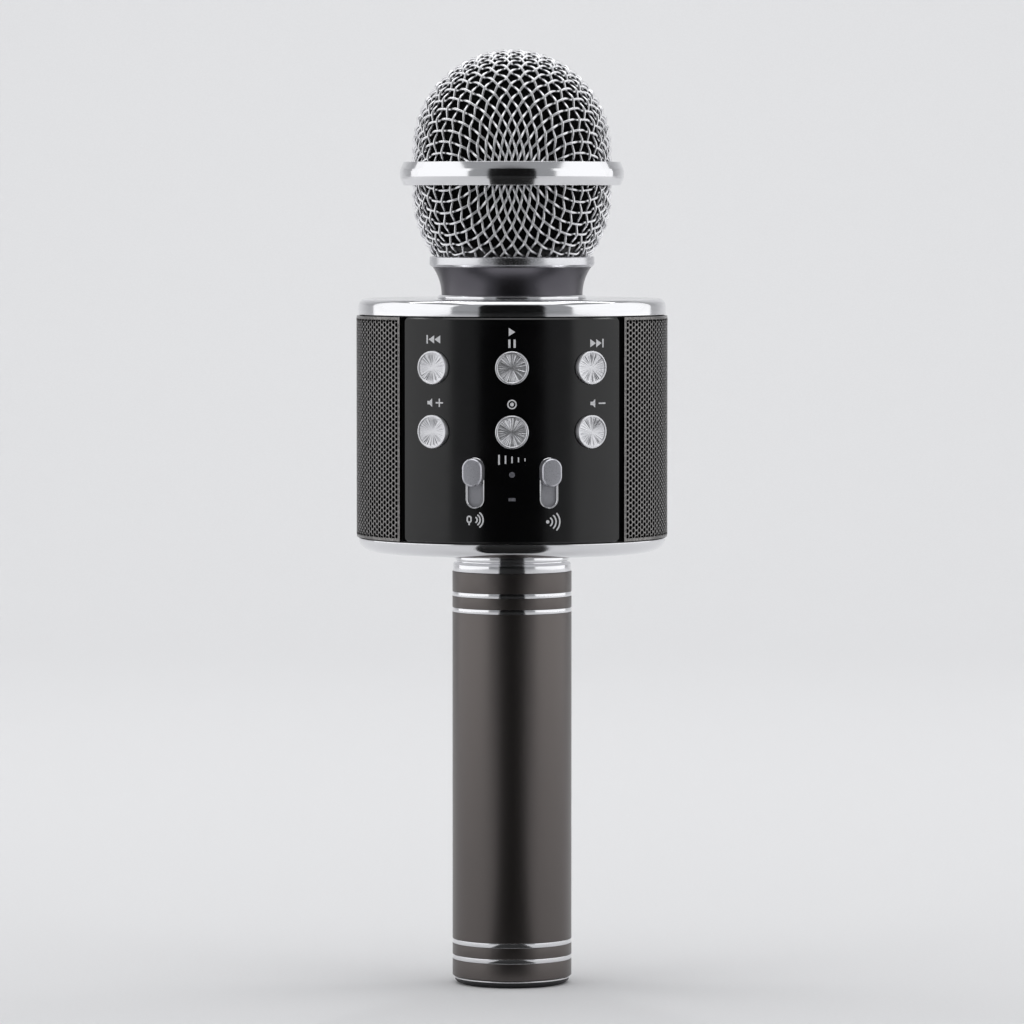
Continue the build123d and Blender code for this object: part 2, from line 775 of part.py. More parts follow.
with BuildPart() as slider_bezels:
    for angle in (-slider_angle, slider_angle):
        with BuildSketch(facing(shutter_outer + 0.15, angle, bezel_middle)):
            SlotOverall(bezel_length, bezel_width, rotation=90)
            SlotOverall(
                bezel_length - 2 * bezel_wall,
                bezel_width - 2 * bezel_wall,
                rotation=90,
                mode=Mode.SUBTRACT,
            )
        extrude(amount=panel_radius + bezel_rise - shutter_outer - 0.15)
export(slider_bezels, "slider_bezels")

pot_height = slider_travel + blade_length + 6
with BuildPart() as slide_pots:
    for side in (-1, 1):
        angle = side * slider_angle
        with BuildSketch(facing(board_front, 0, thumb_z - slider_travel / 2)):
            with Locations((side * slider_x, 0)):
                Rectangle(pot_width, pot_height)
        extrude(amount=pot_depth)
        with BuildSketch(facing(blade_tip - 0.3, angle, thumb_z - slider_travel / 2)):
            Rectangle(blade_width + 2 * run_gap, blade_length + slider_travel + 2 * slider_end_gap)
        extrude(amount=pot_depth + 4, mode=Mode.SUBTRACT)
export(slide_pots, "slide_pots")

with BuildPart() as indicator_lens:
    with BuildSketch(facing(board_front, 0, drum_bottom + lamp_height)):
        Circle(lamp_radius)
    extrude(amount=panel_radius - board_front)
export(indicator_lens, "indicator_lens")

with BuildPart() as status_window:
    with BuildSketch(facing(board_front, 0, drum_bottom + bar_height)):
        Rectangle(*bar_size)
    extrude(amount=panel_radius - board_front)
export(status_window, "status_window")

# ---------------------------------------------------------------- speakers
for side, name in ((-1, "left"), (1, "right")):
    axis_plane = Plane(origin=(0, 0, drum_middle), x_dir=(0, 0, 1), z_dir=(0, side, 0))
    turn_axis = Axis((0, 0, drum_middle), (1, 0, 0))

    with BuildPart() as speaker_frame:
        with BuildSketch(axis_plane):
            with BuildLine():
                Polyline(
                    (speaker_radius, speaker_face),
                    (speaker_radius, speaker_face - speaker_flange_thickness),
                    (basket_top_radius, speaker_face - speaker_flange_thickness),
                    (basket_rear_radius, basket_back),
                    (pole_radius + coil_gap, basket_back),
                    (pole_radius + coil_gap, basket_back + basket_wall),
                    (basket_rear_radius - basket_wall, basket_back + basket_wall),
                    (basket_top_radius - basket_wall, speaker_face - speaker_flange_thickness - 0.2),
                    (basket_top_radius - basket_wall, speaker_face),
                    close=True,
                )
            make_face()
        revolve(axis=turn_axis)
        with BuildSketch(Plane(origin=(side * speaker_face, 0, drum_middle), z_dir=(side, 0, 0))):
            with PolarLocations(speaker_radius - speaker_screw_inset, 4, start_angle=45):
                Circle(0.8)
        extrude(amount=-speaker_flange_thickness, mode=Mode.SUBTRACT)
    export(speaker_frame, f"{name}_speaker_frame")

    with BuildPart() as magnet:
        with BuildSketch(axis_plane):
            with BuildLine():
                Polyline(
                    (0, magnet_back),
                    (magnet_radius, magnet_back),
                    (magnet_radius, basket_back),
                    (pole_radius + coil_gap, basket_back),
                    (pole_radius + coil_gap, magnet_back + 1.6),
                    (pole_radius, magnet_back + 1.6),
                    (pole_radius, basket_back + 0.4),
                    (0, basket_back + 0.4),
                    close=True,
                )
            make_face()
        revolve(axis=turn_axis)
    export(magnet, f"{name}_speaker_magnet")

    cone_front = speaker_face - speaker_flange_thickness
    cone_back = basket_back + 3.4
    coil_inner = coil_radius - coil_wall / 2
    coil_outer = coil_radius + coil_wall / 2
    cone_slope = (cone_front - cone_back) / (cone_radius - coil_outer)
    cap_foot = cone_back - cone_thickness + (cap_radius - coil_outer) * cone_slope + cap_seat
    cap_sphere = (cap_radius**2 + cap_rise**2) / (2 * cap_rise)
    cap_angle = degrees(acos(cap_radius / cap_sphere))
    with BuildPart() as cone:
        with BuildSketch(axis_plane):
            with BuildLine():
                cap_centre = cap_foot + cap_rise - cap_sphere
                cap_arc = CenterArc((0, cap_centre), cap_sphere, cap_angle, 90 - cap_angle)
                Polyline(
                    cap_arc @ 1,
                    (0, cone_back),
                    (coil_inner, cone_back),
                    (coil_inner, magnet_back + 3.0),
                    (coil_outer, magnet_back + 3.0),
                    (coil_outer, cone_back - cone_thickness),
                    (cone_radius, cone_front - cone_thickness),
                    (cone_radius, cone_front),
                    cap_arc @ 0,
                )
            make_face()
        revolve(axis=turn_axis)
    export(cone, f"{name}_speaker_cone")

    roll_inner = cone_radius + 0.1
    with BuildPart() as surround:
        with BuildSketch(axis_plane):
            with BuildLine():
                half = (basket_top_radius - basket_wall - roll_inner) / 2
                mid = roll_inner + half
                outer_arc = CenterArc((mid, cone_front), half, 0, 180)
                inner_arc = CenterArc((mid, cone_front), half - surround_thickness, 0, 180)
                Line(outer_arc @ 0, inner_arc @ 0)
                Line(outer_arc @ 1, inner_arc @ 1)
            make_face()
        revolve(axis=turn_axis)
    export(surround, f"{name}_speaker_surround")

# ---------------------------------------------------------------- neck
with BuildPart() as neck_trim_ring:
    with BuildSketch(Plane.XY.offset(drum_top)):
        Circle(neck_foot_radius + neck_trim_width)
        Circle(neck_boss_radius + fit_gap, mode=Mode.SUBTRACT)
    extrude(amount=neck_trim_height)
    chamfer(
        neck_trim_ring.edges().filter_by(GeomType.CIRCLE).group_by(Axis.Z)[-1].sort_by(SortBy.RADIUS)[-1],
        0.3,
    )
export(neck_trim_ring, "neck_trim_ring")

nut_seat = drum_top - cap_plate
with BuildPart() as neck_collar:
    with BuildSketch(Plane.XZ):
        with BuildLine():
            Polyline(
                (neck_top_radius, neck_top),
                (spigot_radius, neck_top),
                (spigot_radius, spigot_top),
                (neck_bore, spigot_top),
                (neck_bore, nut_seat - nut_height),
                (neck_boss_radius, nut_seat - nut_height),
                (neck_boss_radius, neck_foot),
                (neck_foot_radius, neck_foot),
            )
            TangentArc((neck_foot_radius, neck_foot), (neck_top_radius, neck_top), tangent=(0, 1))
        make_face()
    revolve(axis=Axis.Z)
export(neck_collar, "neck_collar")

with BuildPart() as neck_nut:
    spanner_nut(neck_boss_radius + fit_gap, nut_seat - nut_height)
export(neck_nut, "neck_nut")

# ---------------------------------------------------------------- head
with BuildPart() as base_ring:
    with BuildSketch(Plane.XY.offset(neck_top)):
        Circle(base_ring_radius)
        Circle(sleeve_inner, mode=Mode.SUBTRACT)
    extrude(amount=base_ring_height)
    chamfer(
        base_ring.edges().filter_by(GeomType.CIRCLE).group_by(Axis.Z)[0].sort_by(SortBy.RADIUS)[-1],
        base_ring_bevel,
    )
    chamfer(
        base_ring.edges().filter_by(GeomType.CIRCLE).group_by(Axis.Z)[-1].sort_by(SortBy.RADIUS)[-1],
        0.3,
    )
    with BuildSketch(Plane.XY.offset(ring_top)):
        Circle(sleeve_outer)
        Circle(sleeve_inner, mode=Mode.SUBTRACT)
    extrude(amount=sleeve_length - base_ring_height)
export(base_ring, "base_ring")

with BuildPart() as lower_bowl:
    with BuildSketch(Plane.XZ):
        with BuildLine():
            outer_turn = -degrees(asin(mouth_drop / head_radius))
            inner_turn = -degrees(asin(mouth_drop / mesh_inner))
            lower_outer = CenterArc((0, lower_centre), head_radius, 0, outer_turn)
            lower_inner = CenterArc((0, lower_centre), mesh_inner, 0, inner_turn)
            Line(lower_outer @ 1, lower_inner @ 1)
            Polyline(lower_inner @ 0, (mesh_inner, seam_z), (head_radius, seam_z), lower_outer @ 0)
        make_face()
    revolve(axis=Axis.Z)
export(lower_bowl, "lower_bowl")

with BuildPart() as upper_bowl:
    with BuildSketch(Plane.XZ):
        with BuildLine():
            upper_outer = CenterArc((0, upper_centre), head_radius, 0, 90)
            upper_inner = CenterArc((0, upper_centre), mesh_inner, 0, 90)
            Line(upper_outer @ 1, upper_inner @ 1)
            Polyline(upper_inner @ 0, (mesh_inner, seam_z), (head_radius, seam_z), upper_outer @ 0)
        make_face()
    revolve(axis=Axis.Z)
export(upper_bowl, "upper_bowl")

band_low = seam_z - band_height / 2
band_high = seam_z + band_height / 2
band_corner = head_radius + band_reach - band_bevel
with BuildPart() as grille_band:
    spin(
        [
            (head_radius, band_low),
            (band_corner, band_low),
            (head_radius + band_reach, band_low + band_bevel_height + 1.0),
            (head_radius + band_reach, band_high - band_bevel_height - 1.0),
            (band_corner, band_high),
            (head_radius, band_high),
        ]
    )
export(grille_band, "grille_band")

with BuildPart() as foam_liner:
    with BuildSketch(Plane.XZ):
        with BuildLine():
            drop = lower_centre - foam_bottom
            foam_low_outer = CenterArc((0, lower_centre), foam_outer, 0, -degrees(asin(drop / foam_outer)))
            foam_low_inner = CenterArc((0, lower_centre), foam_inner, 0, -degrees(asin(drop / foam_inner)))
            foam_top_outer = CenterArc((0, upper_centre), foam_outer, 0, 90)
            foam_top_inner = CenterArc((0, upper_centre), foam_inner, 0, 90)
            Line(foam_low_outer @ 1, foam_low_inner @ 1)
            Line(foam_low_outer @ 0, foam_top_outer @ 0)
            Line(foam_low_inner @ 0, foam_top_inner @ 0)
            Line(foam_top_outer @ 1, foam_top_inner @ 1)
        make_face()
    revolve(axis=Axis.Z)
export(foam_liner, "foam_liner")

# ---------------------------------------------------------------- capsule
with BuildPart() as bulkhead:
    with BuildSketch(Plane.XY.offset(spigot_top)):
        Circle(spigot_radius - 0.4)
        with Locations((-8.0, 0), (8.0, 0)):
            Circle(lead_hole_radius, mode=Mode.SUBTRACT)
    extrude(amount=bulkhead_thickness)
    with BuildSketch(Plane.XY.offset(spigot_top - 2.0)):
        Circle(neck_bore - fit_gap)
        Circle(neck_bore - fit_gap - 1.6, mode=Mode.SUBTRACT)
    extrude(amount=2.0)
export(bulkhead, "bulkhead")

with BuildPart() as capsule_mount:
    with BuildSketch(Plane.XY.offset(bulkhead_top)):
        Circle(capsule_radius + mount_wall)
        with Locations((-8.0, 0), (8.0, 0)):
            Circle(lead_hole_radius, mode=Mode.SUBTRACT)
    extrude(amount=mount_height)
    with BuildSketch(Plane.XY.offset(capsule_bottom)):
        Circle(capsule_radius + 0.02)
    extrude(amount=mount_height, mode=Mode.SUBTRACT)
export(capsule_mount, "capsule_mount")

with BuildPart() as capsule:
    with BuildSketch(Plane.XY.offset(capsule_bottom)):
        Circle(capsule_radius)
    extrude(amount=capsule_height)
    fillet(capsule.edges().filter_by(GeomType.CIRCLE).group_by(Axis.Z)[-1], 1.0)
    with BuildSketch(Plane.XY.offset(capsule_top - 1.2)):
        with PolarLocations(5.6, 8):
            Circle(1.3)
        Circle(2.2)
    extrude(amount=1.2, mode=Mode.SUBTRACT)
export(capsule, "capsule")

with BuildPart() as capsule_leads:
    for side in (-1, 1):
        tube_path(
            [
                (side * 8.0, 0, capsule_bottom),
                (side * 8.0, 0, board_top - 4),
                (side * 8.0, -board_back, board_top - 4),
            ],
            5.0,
            lead_radius,
        )
export(capsule_leads, "capsule_leads")

# ---------------------------------------------------------------- case screws
with BuildPart() as case_screws:
    with BuildSketch(Plane.XY.offset(drum_bottom + screw_recess)):
        with PolarLocations(case_screw_radius, 4, start_angle=45):
            Circle(screw_head_radius)
    extrude(amount=screw_head_height)
    with BuildSketch(Plane.XY.offset(screw_seat)):
        with PolarLocations(case_screw_radius, 4, start_angle=45):
            Circle(screw_radius)
    extrude(amount=screw_length - 2)
    with BuildSketch(Plane.XY.offset(drum_bottom + screw_recess)):
        with PolarLocations(case_screw_radius, 4, start_angle=45):
            Rectangle(2.4, 0.6)
            Rectangle(0.6, 2.4)
    extrude(amount=0.6, mode=Mode.SUBTRACT)
export(case_screws, "case_screws")

with BuildPart() as speaker_screws:
    for side in (-1, 1):
        rear = speaker_face - speaker_flange_thickness
        with BuildSketch(Plane(origin=(side * rear, 0, drum_middle), z_dir=(side, 0, 0))):
            with PolarLocations(speaker_radius - speaker_screw_inset, 4, start_angle=45):
                Circle(0.8)
        extrude(amount=speaker_screw_length)
        with BuildSketch(Plane(origin=(side * (rear - 0.8), 0, drum_middle), z_dir=(side, 0, 0))):
            with PolarLocations(speaker_radius - speaker_screw_inset, 4, start_angle=45):
                Circle(1.0)
        extrude(amount=0.8)
export(speaker_screws, "speaker_screws")
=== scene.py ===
# %% [markdown]
# A handheld karaoke microphone: a woven wire head, a speaker drum with a control panel, and a slim dark
# handle. The CAD pieces are loaded first. They fix every size and every joint, and this file gives them their
# looks. Turned parts are lathed again with fine edges, the wire and the perforated sheet follow rules and are
# made by Geometry Nodes, and the hidden parts keep their CAD shape with a proper material.

import math

import bmesh
import bpy
import numpy as np
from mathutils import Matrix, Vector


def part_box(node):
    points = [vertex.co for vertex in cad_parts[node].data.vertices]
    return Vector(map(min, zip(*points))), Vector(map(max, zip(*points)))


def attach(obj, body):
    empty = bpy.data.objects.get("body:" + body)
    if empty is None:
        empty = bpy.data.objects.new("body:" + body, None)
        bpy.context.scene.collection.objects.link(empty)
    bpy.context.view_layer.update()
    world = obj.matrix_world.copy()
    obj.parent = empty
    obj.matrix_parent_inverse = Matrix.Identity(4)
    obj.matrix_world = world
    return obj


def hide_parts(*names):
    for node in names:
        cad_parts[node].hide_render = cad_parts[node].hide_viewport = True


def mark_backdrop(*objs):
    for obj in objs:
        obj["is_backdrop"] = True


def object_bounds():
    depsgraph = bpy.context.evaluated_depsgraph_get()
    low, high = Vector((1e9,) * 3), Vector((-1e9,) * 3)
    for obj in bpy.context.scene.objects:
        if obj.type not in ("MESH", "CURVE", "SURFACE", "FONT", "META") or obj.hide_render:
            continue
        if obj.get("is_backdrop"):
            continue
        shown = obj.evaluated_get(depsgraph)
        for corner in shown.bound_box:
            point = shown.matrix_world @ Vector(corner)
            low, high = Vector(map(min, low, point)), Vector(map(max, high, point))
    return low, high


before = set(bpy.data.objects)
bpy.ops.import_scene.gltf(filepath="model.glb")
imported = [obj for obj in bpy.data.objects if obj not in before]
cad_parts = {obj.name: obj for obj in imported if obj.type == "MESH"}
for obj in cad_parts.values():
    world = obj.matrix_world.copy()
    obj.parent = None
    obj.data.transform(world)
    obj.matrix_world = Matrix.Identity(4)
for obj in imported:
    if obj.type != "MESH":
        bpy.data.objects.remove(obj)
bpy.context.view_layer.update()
MM = 0.001

# %% [markdown]
# Colours are kept as the hex values a designer would write. Shaders work in linear light, so one function
# converts them. A second small function adds a node to any tree, sets its properties and its inputs, and makes
# its links. Nearly everything below is built with those two.


# %% Colour and node helpers
def linear(code):
    """An sRGB hex value as a linear colour with alpha."""
    parts = [int(code[i : i + 2], 16) / 255 for i in (0, 2, 4)]
    return [*(c / 12.92 if c <= 0.04045 else ((c + 0.055) / 1.055) ** 2.4 for c in parts), 1.0]


def add(tree, kind, settings=None, inputs=None):
    """Adds a node. settings are its properties. inputs are values or other nodes' outputs, by name or place."""
    node = tree.nodes.new(kind)
    for key, value in (settings or {}).items():
        setattr(node, key, value)
    for key, value in (inputs or {}).items():
        if isinstance(value, bpy.types.NodeSocket):
            tree.links.new(value, node.inputs[key])
        else:
            node.inputs[key].default_value = value
    return node


def material(name, colour, roughness, metallic=0.0, **fixed):
    """A material with constant values on the shader's own sockets. Returns it, its tree and its shader."""
    made = bpy.data.materials.new(name)
    made.use_nodes = True
    shader = made.node_tree.nodes["Principled BSDF"]
    shader.inputs["Base Color"].default_value = linear(colour)
    shader.inputs["Roughness"].default_value = roughness
    shader.inputs["Metallic"].default_value = metallic
    for key, value in fixed.items():
        shader.inputs[key.replace("_", " ")].default_value = value
    return made, made.node_tree, shader


# %% [markdown]
# No real surface is the same all over. Moulding, blasting and plating leave fine bumps, and the gloss or the
# colour changes a little with them. So one function gives a material its bumps from a noise, sized in
# millimetres, and lets the same noise move the colour or the roughness between two values.


# %% Finishes with a grain
def grain(tree, shader, size_mm, depth_mm, strength, stretch):
    """Fine bumps on object coordinates. Returns their noise."""
    coords = add(tree, "ShaderNodeTexCoord").outputs["Object"]
    scaled = add(tree, "ShaderNodeMapping", None, {"Vector": coords, "Scale": stretch}).outputs["Vector"]
    sizes = {"Vector": scaled, "Scale": 1 / (size_mm * MM), "Detail": 3.0}
    noise = add(tree, "ShaderNodeTexNoise", None, sizes).outputs["Fac"]
    heights = {"Height": noise, "Distance": depth_mm * MM, "Strength": strength}
    bump = add(tree, "ShaderNodeBump", None, heights)
    tree.links.new(bump.outputs["Normal"], shader.inputs["Normal"])
    return noise


def finish(name, colour, roughness, metallic, bumps, stretch=(1, 1, 1), **fixed):
    """A material with bumps: size, depth, strength. A pair of colours or of roughnesses follows them."""
    first = [value[0] if isinstance(value, tuple) else value for value in (colour, roughness)]
    made, tree, shader = material(name, *first, metallic, **fixed)
    noise = grain(tree, shader, *bumps, stretch)
    if isinstance(colour, tuple):
        ramp = add(tree, "ShaderNodeValToRGB", None, {"Fac": noise})
        for stop, place_on, code in zip(ramp.color_ramp.elements, (0.35, 0.65), colour):
            stop.position, stop.color = place_on, linear(code)
        tree.links.new(ramp.outputs["Color"], shader.inputs["Base Color"])
    if isinstance(roughness, tuple):
        limits = {"From Min": 0.3, "From Max": 0.7, "To Min": roughness[0], "To Max": roughness[1]}
        span = add(tree, "ShaderNodeMapRange", None, {"Value": noise, **limits})
        tree.links.new(span.outputs["Result"], shader.inputs["Roughness"])
    return made


# %% [markdown]
# Metals. Bright chrome is nickel and chromium plated on polished metal, so it is nearly a mirror, with faint
# wiping marks. The handle and the neck are aluminium, blasted fine and anodised near black, which spreads
# highlights into soft bands. The side sheets are plated steel, and the wire is drawn steel with a bright nickel
# skin. Blasting and drawing marks finer than 0.2 mm are drawn at 0.2 mm, the finest that still shows.

# %% Metal finishes
# a mirror whose wiping marks, 9 mm apart, only show as a slow change of sharpness
chrome = finish("chrome_plate_polished", "E4E4E6", (0.08, 0.15), 1.0, (9.0, 0.004, 0.3))
# brushed round, so the marks run level: eight times finer up than across
satin_nickel = finish("nickel_plate_satin", "D2D2D5", (0.18, 0.3), 1.0, (0.5, 0.01, 0.5), stretch=(1, 1, 8))
# near black with a warm cast, and soft edges to its highlights
anodised = finish("aluminium_anodised_black_satin", "66615F", (0.34, 0.39), 1.0, (0.2, 0.0015, 0.25))
# cooler and a little glossier than the handle
gunmetal = finish("aluminium_anodised_gunmetal", "5B595E", (0.28, 0.33), 1.0, (0.2, 0.001, 0.25))
# plating on punched sheet comes out mottled, lighter and darker over half a millimetre
sheet_steel = finish("steel_sheet_dark_nickel_plated", ("636160", "858382"), 0.28, 1.0, (0.6, 0.01, 0.5))
# bright, with drawing marks that break up the highlight along each wire
wire_steel = finish("steel_wire_drawn_nickel_plated", "E4E4E6", (0.22, 0.36), 1.0, (0.2, 0.006, 0.5))
print("metals made")

# %% [markdown]
# Plastics, foam, rubber and the rest. The control panel is gloss black ABS, so it mirrors the lamps along its
# sides. The foam is open-cell polyurethane: a black sponge whose cells are pits about a millimetre across. Foam
# and cloth have patterns of their own, so they get their nodes one by one.

# %% Plastics
# a moulded gloss has slow waves where the plastic flowed
gloss_black = finish("abs_gloss_black_moulded", "050506", (0.17, 0.23), 0.0, (12.0, 0.01, 0.15), IOR=1.45)
# a spark-eroded mould leaves an even, fine texture
matt_black = finish("abs_matt_black_textured", "141416", (0.42, 0.6), 0.0, (0.35, 0.02, 0.6), IOR=1.54)
# plated plastic: metallic, but softer than chrome
silver_plastic = finish("abs_silver_plated_satin", "C2C2C8", (0.25, 0.38), 0.8, (0.2, 0.003, 0.5))
# silver paint: grey with a slight glitter of flakes
silver_tray = finish("abs_silver_painted_satin", ("99999E", "ABABB0"), 0.4, 0.25, (0.15, 0.002, 0.4))
smoked_window = finish(
    "polycarbonate_smoked_window", ("5C5C61", "707076"), 0.2, 0.0, (0.5, 0.004, 0.3), IOR=1.58
)
white_ink = finish("pad_print_ink_white", ("C2C2C4", "E0E0E2"), 0.6, 0.0, (0.2, 0.004, 0.5))
cell_sleeve = finish("pvc_shrink_wrap_blue", "1E4F8C", (0.25, 0.4), 0.0, (6.0, 0.03, 0.4))
red_wire = finish("pvc_wire_insulation_red", "8A1512", (0.4, 0.55), 0.0, (0.8, 0.01, 0.4))

# %% Foam and cloth
foam_cell, thread_gap = 0.9, 0.5
foam_black, tree, shader = material("polyurethane_foam_open_cell", "080809", 0.95, Specular_IOR_Level=0.1)
coords = add(tree, "ShaderNodeTexCoord").outputs["Object"]
cells = add(tree, "ShaderNodeTexVoronoi", None, {"Vector": coords, "Scale": 1 / (foam_cell * MM)})
pits = {"Height": cells.outputs["Distance"], "Distance": 0.5 * MM, "Strength": 0.9}
tree.links.new(add(tree, "ShaderNodeBump", None, pits).outputs["Normal"], shader.inputs["Normal"])
# painted shade: the ramp darkens the middle of each cell, where the bump sinks into a pit
painted_pit_shade = add(tree, "ShaderNodeValToRGB", None, {"Fac": cells.outputs["Distance"]})
painted_pit_shade.color_ramp.elements[0].color = linear("020202")
painted_pit_shade.color_ramp.elements[1].color = linear("101011")
tree.links.new(painted_pit_shade.outputs["Color"], shader.inputs["Base Color"])

cloth_black, tree, shader = material("polyester_cloth_black_woven", "0A0A0A", 0.9)
coords = add(tree, "ShaderNodeTexCoord").outputs["Object"]
bands = {"Vector": coords, "Scale": 1 / (thread_gap * MM) / (2 * math.pi), "Distortion": 1.0}
threads = add(tree, "ShaderNodeTexWave", {"wave_type": "BANDS", "bands_direction": "Z"}, bands)
weave = add(tree, "ShaderNodeBump", None, {"Height": threads.outputs["Fac"], "Distance": 0.1 * MM})
tree.links.new(weave.outputs["Normal"], shader.inputs["Normal"])

# %% Rubber, paper, boards and plain steel
rubber_black = finish("rubber_moulded_black", "121212", (0.5, 0.7), 0.0, (0.8, 0.02, 0.5))
paper_cone = finish("pulp_paper_pressed_grey", ("242322", "373533"), 0.85, 0.0, (0.7, 0.06, 0.8))
solder_mask = finish(
    "fibreglass_board_green_lacquer", ("0F3F25", "185634"), 0.35, 0.0, (1.5, 0.02, 0.4), Coat_Weight=0.4
)
ferrite = finish("ferrite_sintered_grey", "3A3A3D", (0.55, 0.75), 0.2, (0.4, 0.03, 0.6))
plain_steel = finish("steel_zinc_plated", "A9AAAD", (0.28, 0.45), 1.0, (0.8, 0.01, 0.5))
print(len(bpy.data.materials), "materials")

# %% [markdown]
# Most of the outer parts were turned or spun: rings, caps, the handle. Each is an outline spun about the
# upright axis. Real edges are never razor sharp, so the outline's corners get a small arc first, which catches
# the light.


# %% Turned parts
def softened(outline, radius, steps=4):
    """Rounds every corner of a closed (radius, height) outline that isn't on the axis."""
    points = []
    count = len(outline)
    for k, corner in enumerate(outline):
        corner = np.array(corner, float)
        before = np.array(outline[k - 1], float) - corner
        after = np.array(outline[(k + 1) % count], float) - corner
        room = min(np.linalg.norm(before), np.linalg.norm(after)) * 0.45
        before /= np.linalg.norm(before)
        after /= np.linalg.norm(after)
        half = math.acos(float(np.clip(before @ after, -1, 1))) / 2
        if corner[0] < 1e-6 or half > math.radians(85):
            points.append(corner)
            continue
        cut = min(radius / math.tan(half), room)
        start, end = corner + before * cut, corner + after * cut
        for step in range(steps + 1):
            t = step / steps
            points.append((1 - t) ** 2 * start + 2 * t * (1 - t) * corner + t**2 * end)
    return points


def shaded(mesh, sharp=35.0):
    """Smooth shading, broken along edges sharper than an angle."""
    work = bmesh.new()
    work.from_mesh(mesh)
    bmesh.ops.remove_doubles(work, verts=work.verts, dist=1e-7)
    bmesh.ops.recalc_face_normals(work, faces=work.faces)
    for face in work.faces:
        face.smooth = True
    for edge in work.edges:
        if len(edge.link_faces) == 2 and edge.calc_face_angle(0) > math.radians(sharp):
            edge.smooth = False
    work.to_mesh(mesh)
    work.free()


def made_object(name, verts, faces, coat, smooth=True):
    """A mesh object from points in millimetres, with its finish."""
    mesh = bpy.data.meshes.new(name)
    mesh.from_pydata([tuple(float(c) * MM for c in v) for v in verts], [], faces)
    mesh.materials.append(coat)
    made = bpy.data.objects.new(name, mesh)
    bpy.context.scene.collection.objects.link(made)
    if smooth:
        shaded(mesh)
    return made


def turned(name, outline, coat, edge=0.15, segments=160):
    """A closed outline of (radius, height) points spun about the upright axis."""
    line = softened(outline, edge)
    angles = np.linspace(0, 2 * math.pi, segments, endpoint=False)
    verts = [(p[0] * math.sin(a), -p[0] * math.cos(a), p[1]) for p in line for a in angles]
    faces = []
    for k in range(len(line)):
        here, after = k * segments, (k + 1) % len(line) * segments
        if line[k][0] < 1e-6 and line[(k + 1) % len(line)][0] < 1e-6:
            continue
        for s in range(segments):
            t = (s + 1) % segments
            faces.append((here + s, here + t, after + t, after + s))
    return made_object(name, verts, faces, coat)


def place(made, body, slot, *nodes):
    """Stands a finished piece for its CAD nodes and lets it ride on its body."""
    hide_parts(*nodes)
    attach(made, body)
    return made


def size_of(node):
    """A CAD node's lowest and highest corner in millimetres."""
    low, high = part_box(node)
    return np.array(low) / MM, np.array(high) / MM


# %% [markdown]
# The handle is one straight dark tube. Bright rings are let in flush, two near each end, with a hairline gap on
# both sides where the dark coating stops. The tube is spun with those grooves in its outline, and the rings sit
# in them.

# %% Handle and its rings
tube_low, tube_high = size_of("handle_tube")
ring_low, ring_high = size_of("trim_rings")
grip, bottom, top = tube_high[0], tube_low[2], tube_high[2]
wall, bevel = 1.6, 0.4
stripe, depth, apart, hairline_gap = 1.3, 0.5, 4.2, 0.04
levels = [ring_low[2], ring_low[2] + apart, ring_high[2] - apart - stripe, ring_high[2] - stripe]
outline = [(grip - wall, bottom), (grip - bevel, bottom), (grip, bottom + bevel)]
for level in levels:
    outline += [(grip, level), (grip - depth, level), (grip - depth, level + stripe), (grip, level + stripe)]
outline += [(grip, top), (grip - wall, top)]
handle = turned("handle_tube_anodised", outline, anodised, edge=0.06)
place(handle, "microphone_body", "anodised_handle", "handle_tube")

flush = grip - 0.02
stripes = []
for k, level in enumerate(levels):
    low, high = level + hairline_gap, level + stripe - hairline_gap
    outline = [(grip - depth, low), (flush, low), (flush, high), (grip - depth, high)]
    stripes.append(turned(f"handle_ring_{k + 1}", outline, chrome, edge=0.12))
for ring in stripes[1:]:
    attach(ring, "microphone_body")
place(stripes[0], "microphone_body", "trim_chrome", "trim_rings")
print("handle radius", round(grip, 2), "ring levels", [round(v, 2) for v in levels])

# %% [markdown]
# At the foot a dark cap screws into the tube over a bright hairline ring. A wide slot underneath takes a coin.
# The cap is spun from its outline. The slot is a shallow pocket, cut with a boolean because a lathe can't make
# it.


# %% Foot
def plain(made):
    """Applies a piece's modifiers, leaving a plain mesh."""
    graph = bpy.context.evaluated_depsgraph_get()
    graph.update()
    mesh = bpy.data.meshes.new_from_object(made.evaluated_get(graph))
    made.modifiers.clear()
    made.data = mesh
    return made


def cut_box(made, low, high):
    """Cuts a box, given by two corners in millimetres, out of a piece."""
    corners = [(x, y, z) for x in (low[0], high[0]) for y in (low[1], high[1]) for z in (low[2], high[2])]
    sides = [(0, 1, 3, 2), (4, 6, 7, 5), (0, 4, 5, 1), (2, 3, 7, 6), (0, 2, 6, 4), (1, 5, 7, 3)]
    tool = made_object("cutter", corners, sides, made.data.materials[0], smooth=False)
    carve = made.modifiers.new("cut", "BOOLEAN")
    carve.object, carve.operation, carve.solver = tool, "DIFFERENCE", "EXACT"
    plain(made)
    bpy.data.objects.remove(tool)


foot, cap_top = (size_of("end_cap")[1][k] for k in (0, 2))
spigot, spigot_wall = 14.1, 2.6
lip_z = size_of("end_cap_ring")[0][2]
outline = [(0, 0), (foot - 1.5, 0), (foot - 0.6, 0.4), (foot - 0.12, 0.95), (foot, lip_z), (spigot, lip_z)]
outline += [(spigot, cap_top), (spigot - spigot_wall, cap_top), (spigot - spigot_wall, lip_z), (0, lip_z)]
end_cap = turned("end_cap_moulded", outline, matt_black, edge=0.12)
slot_long, slot_wide, slot_deep = 16.4, 1.8, 0.8
cut_box(end_cap, (-slot_long / 2, -slot_wide / 2, -1), (slot_long / 2, slot_wide / 2, slot_deep))
shaded(end_cap.data)
place(end_cap, "end_cap", "black_plastic", "end_cap")

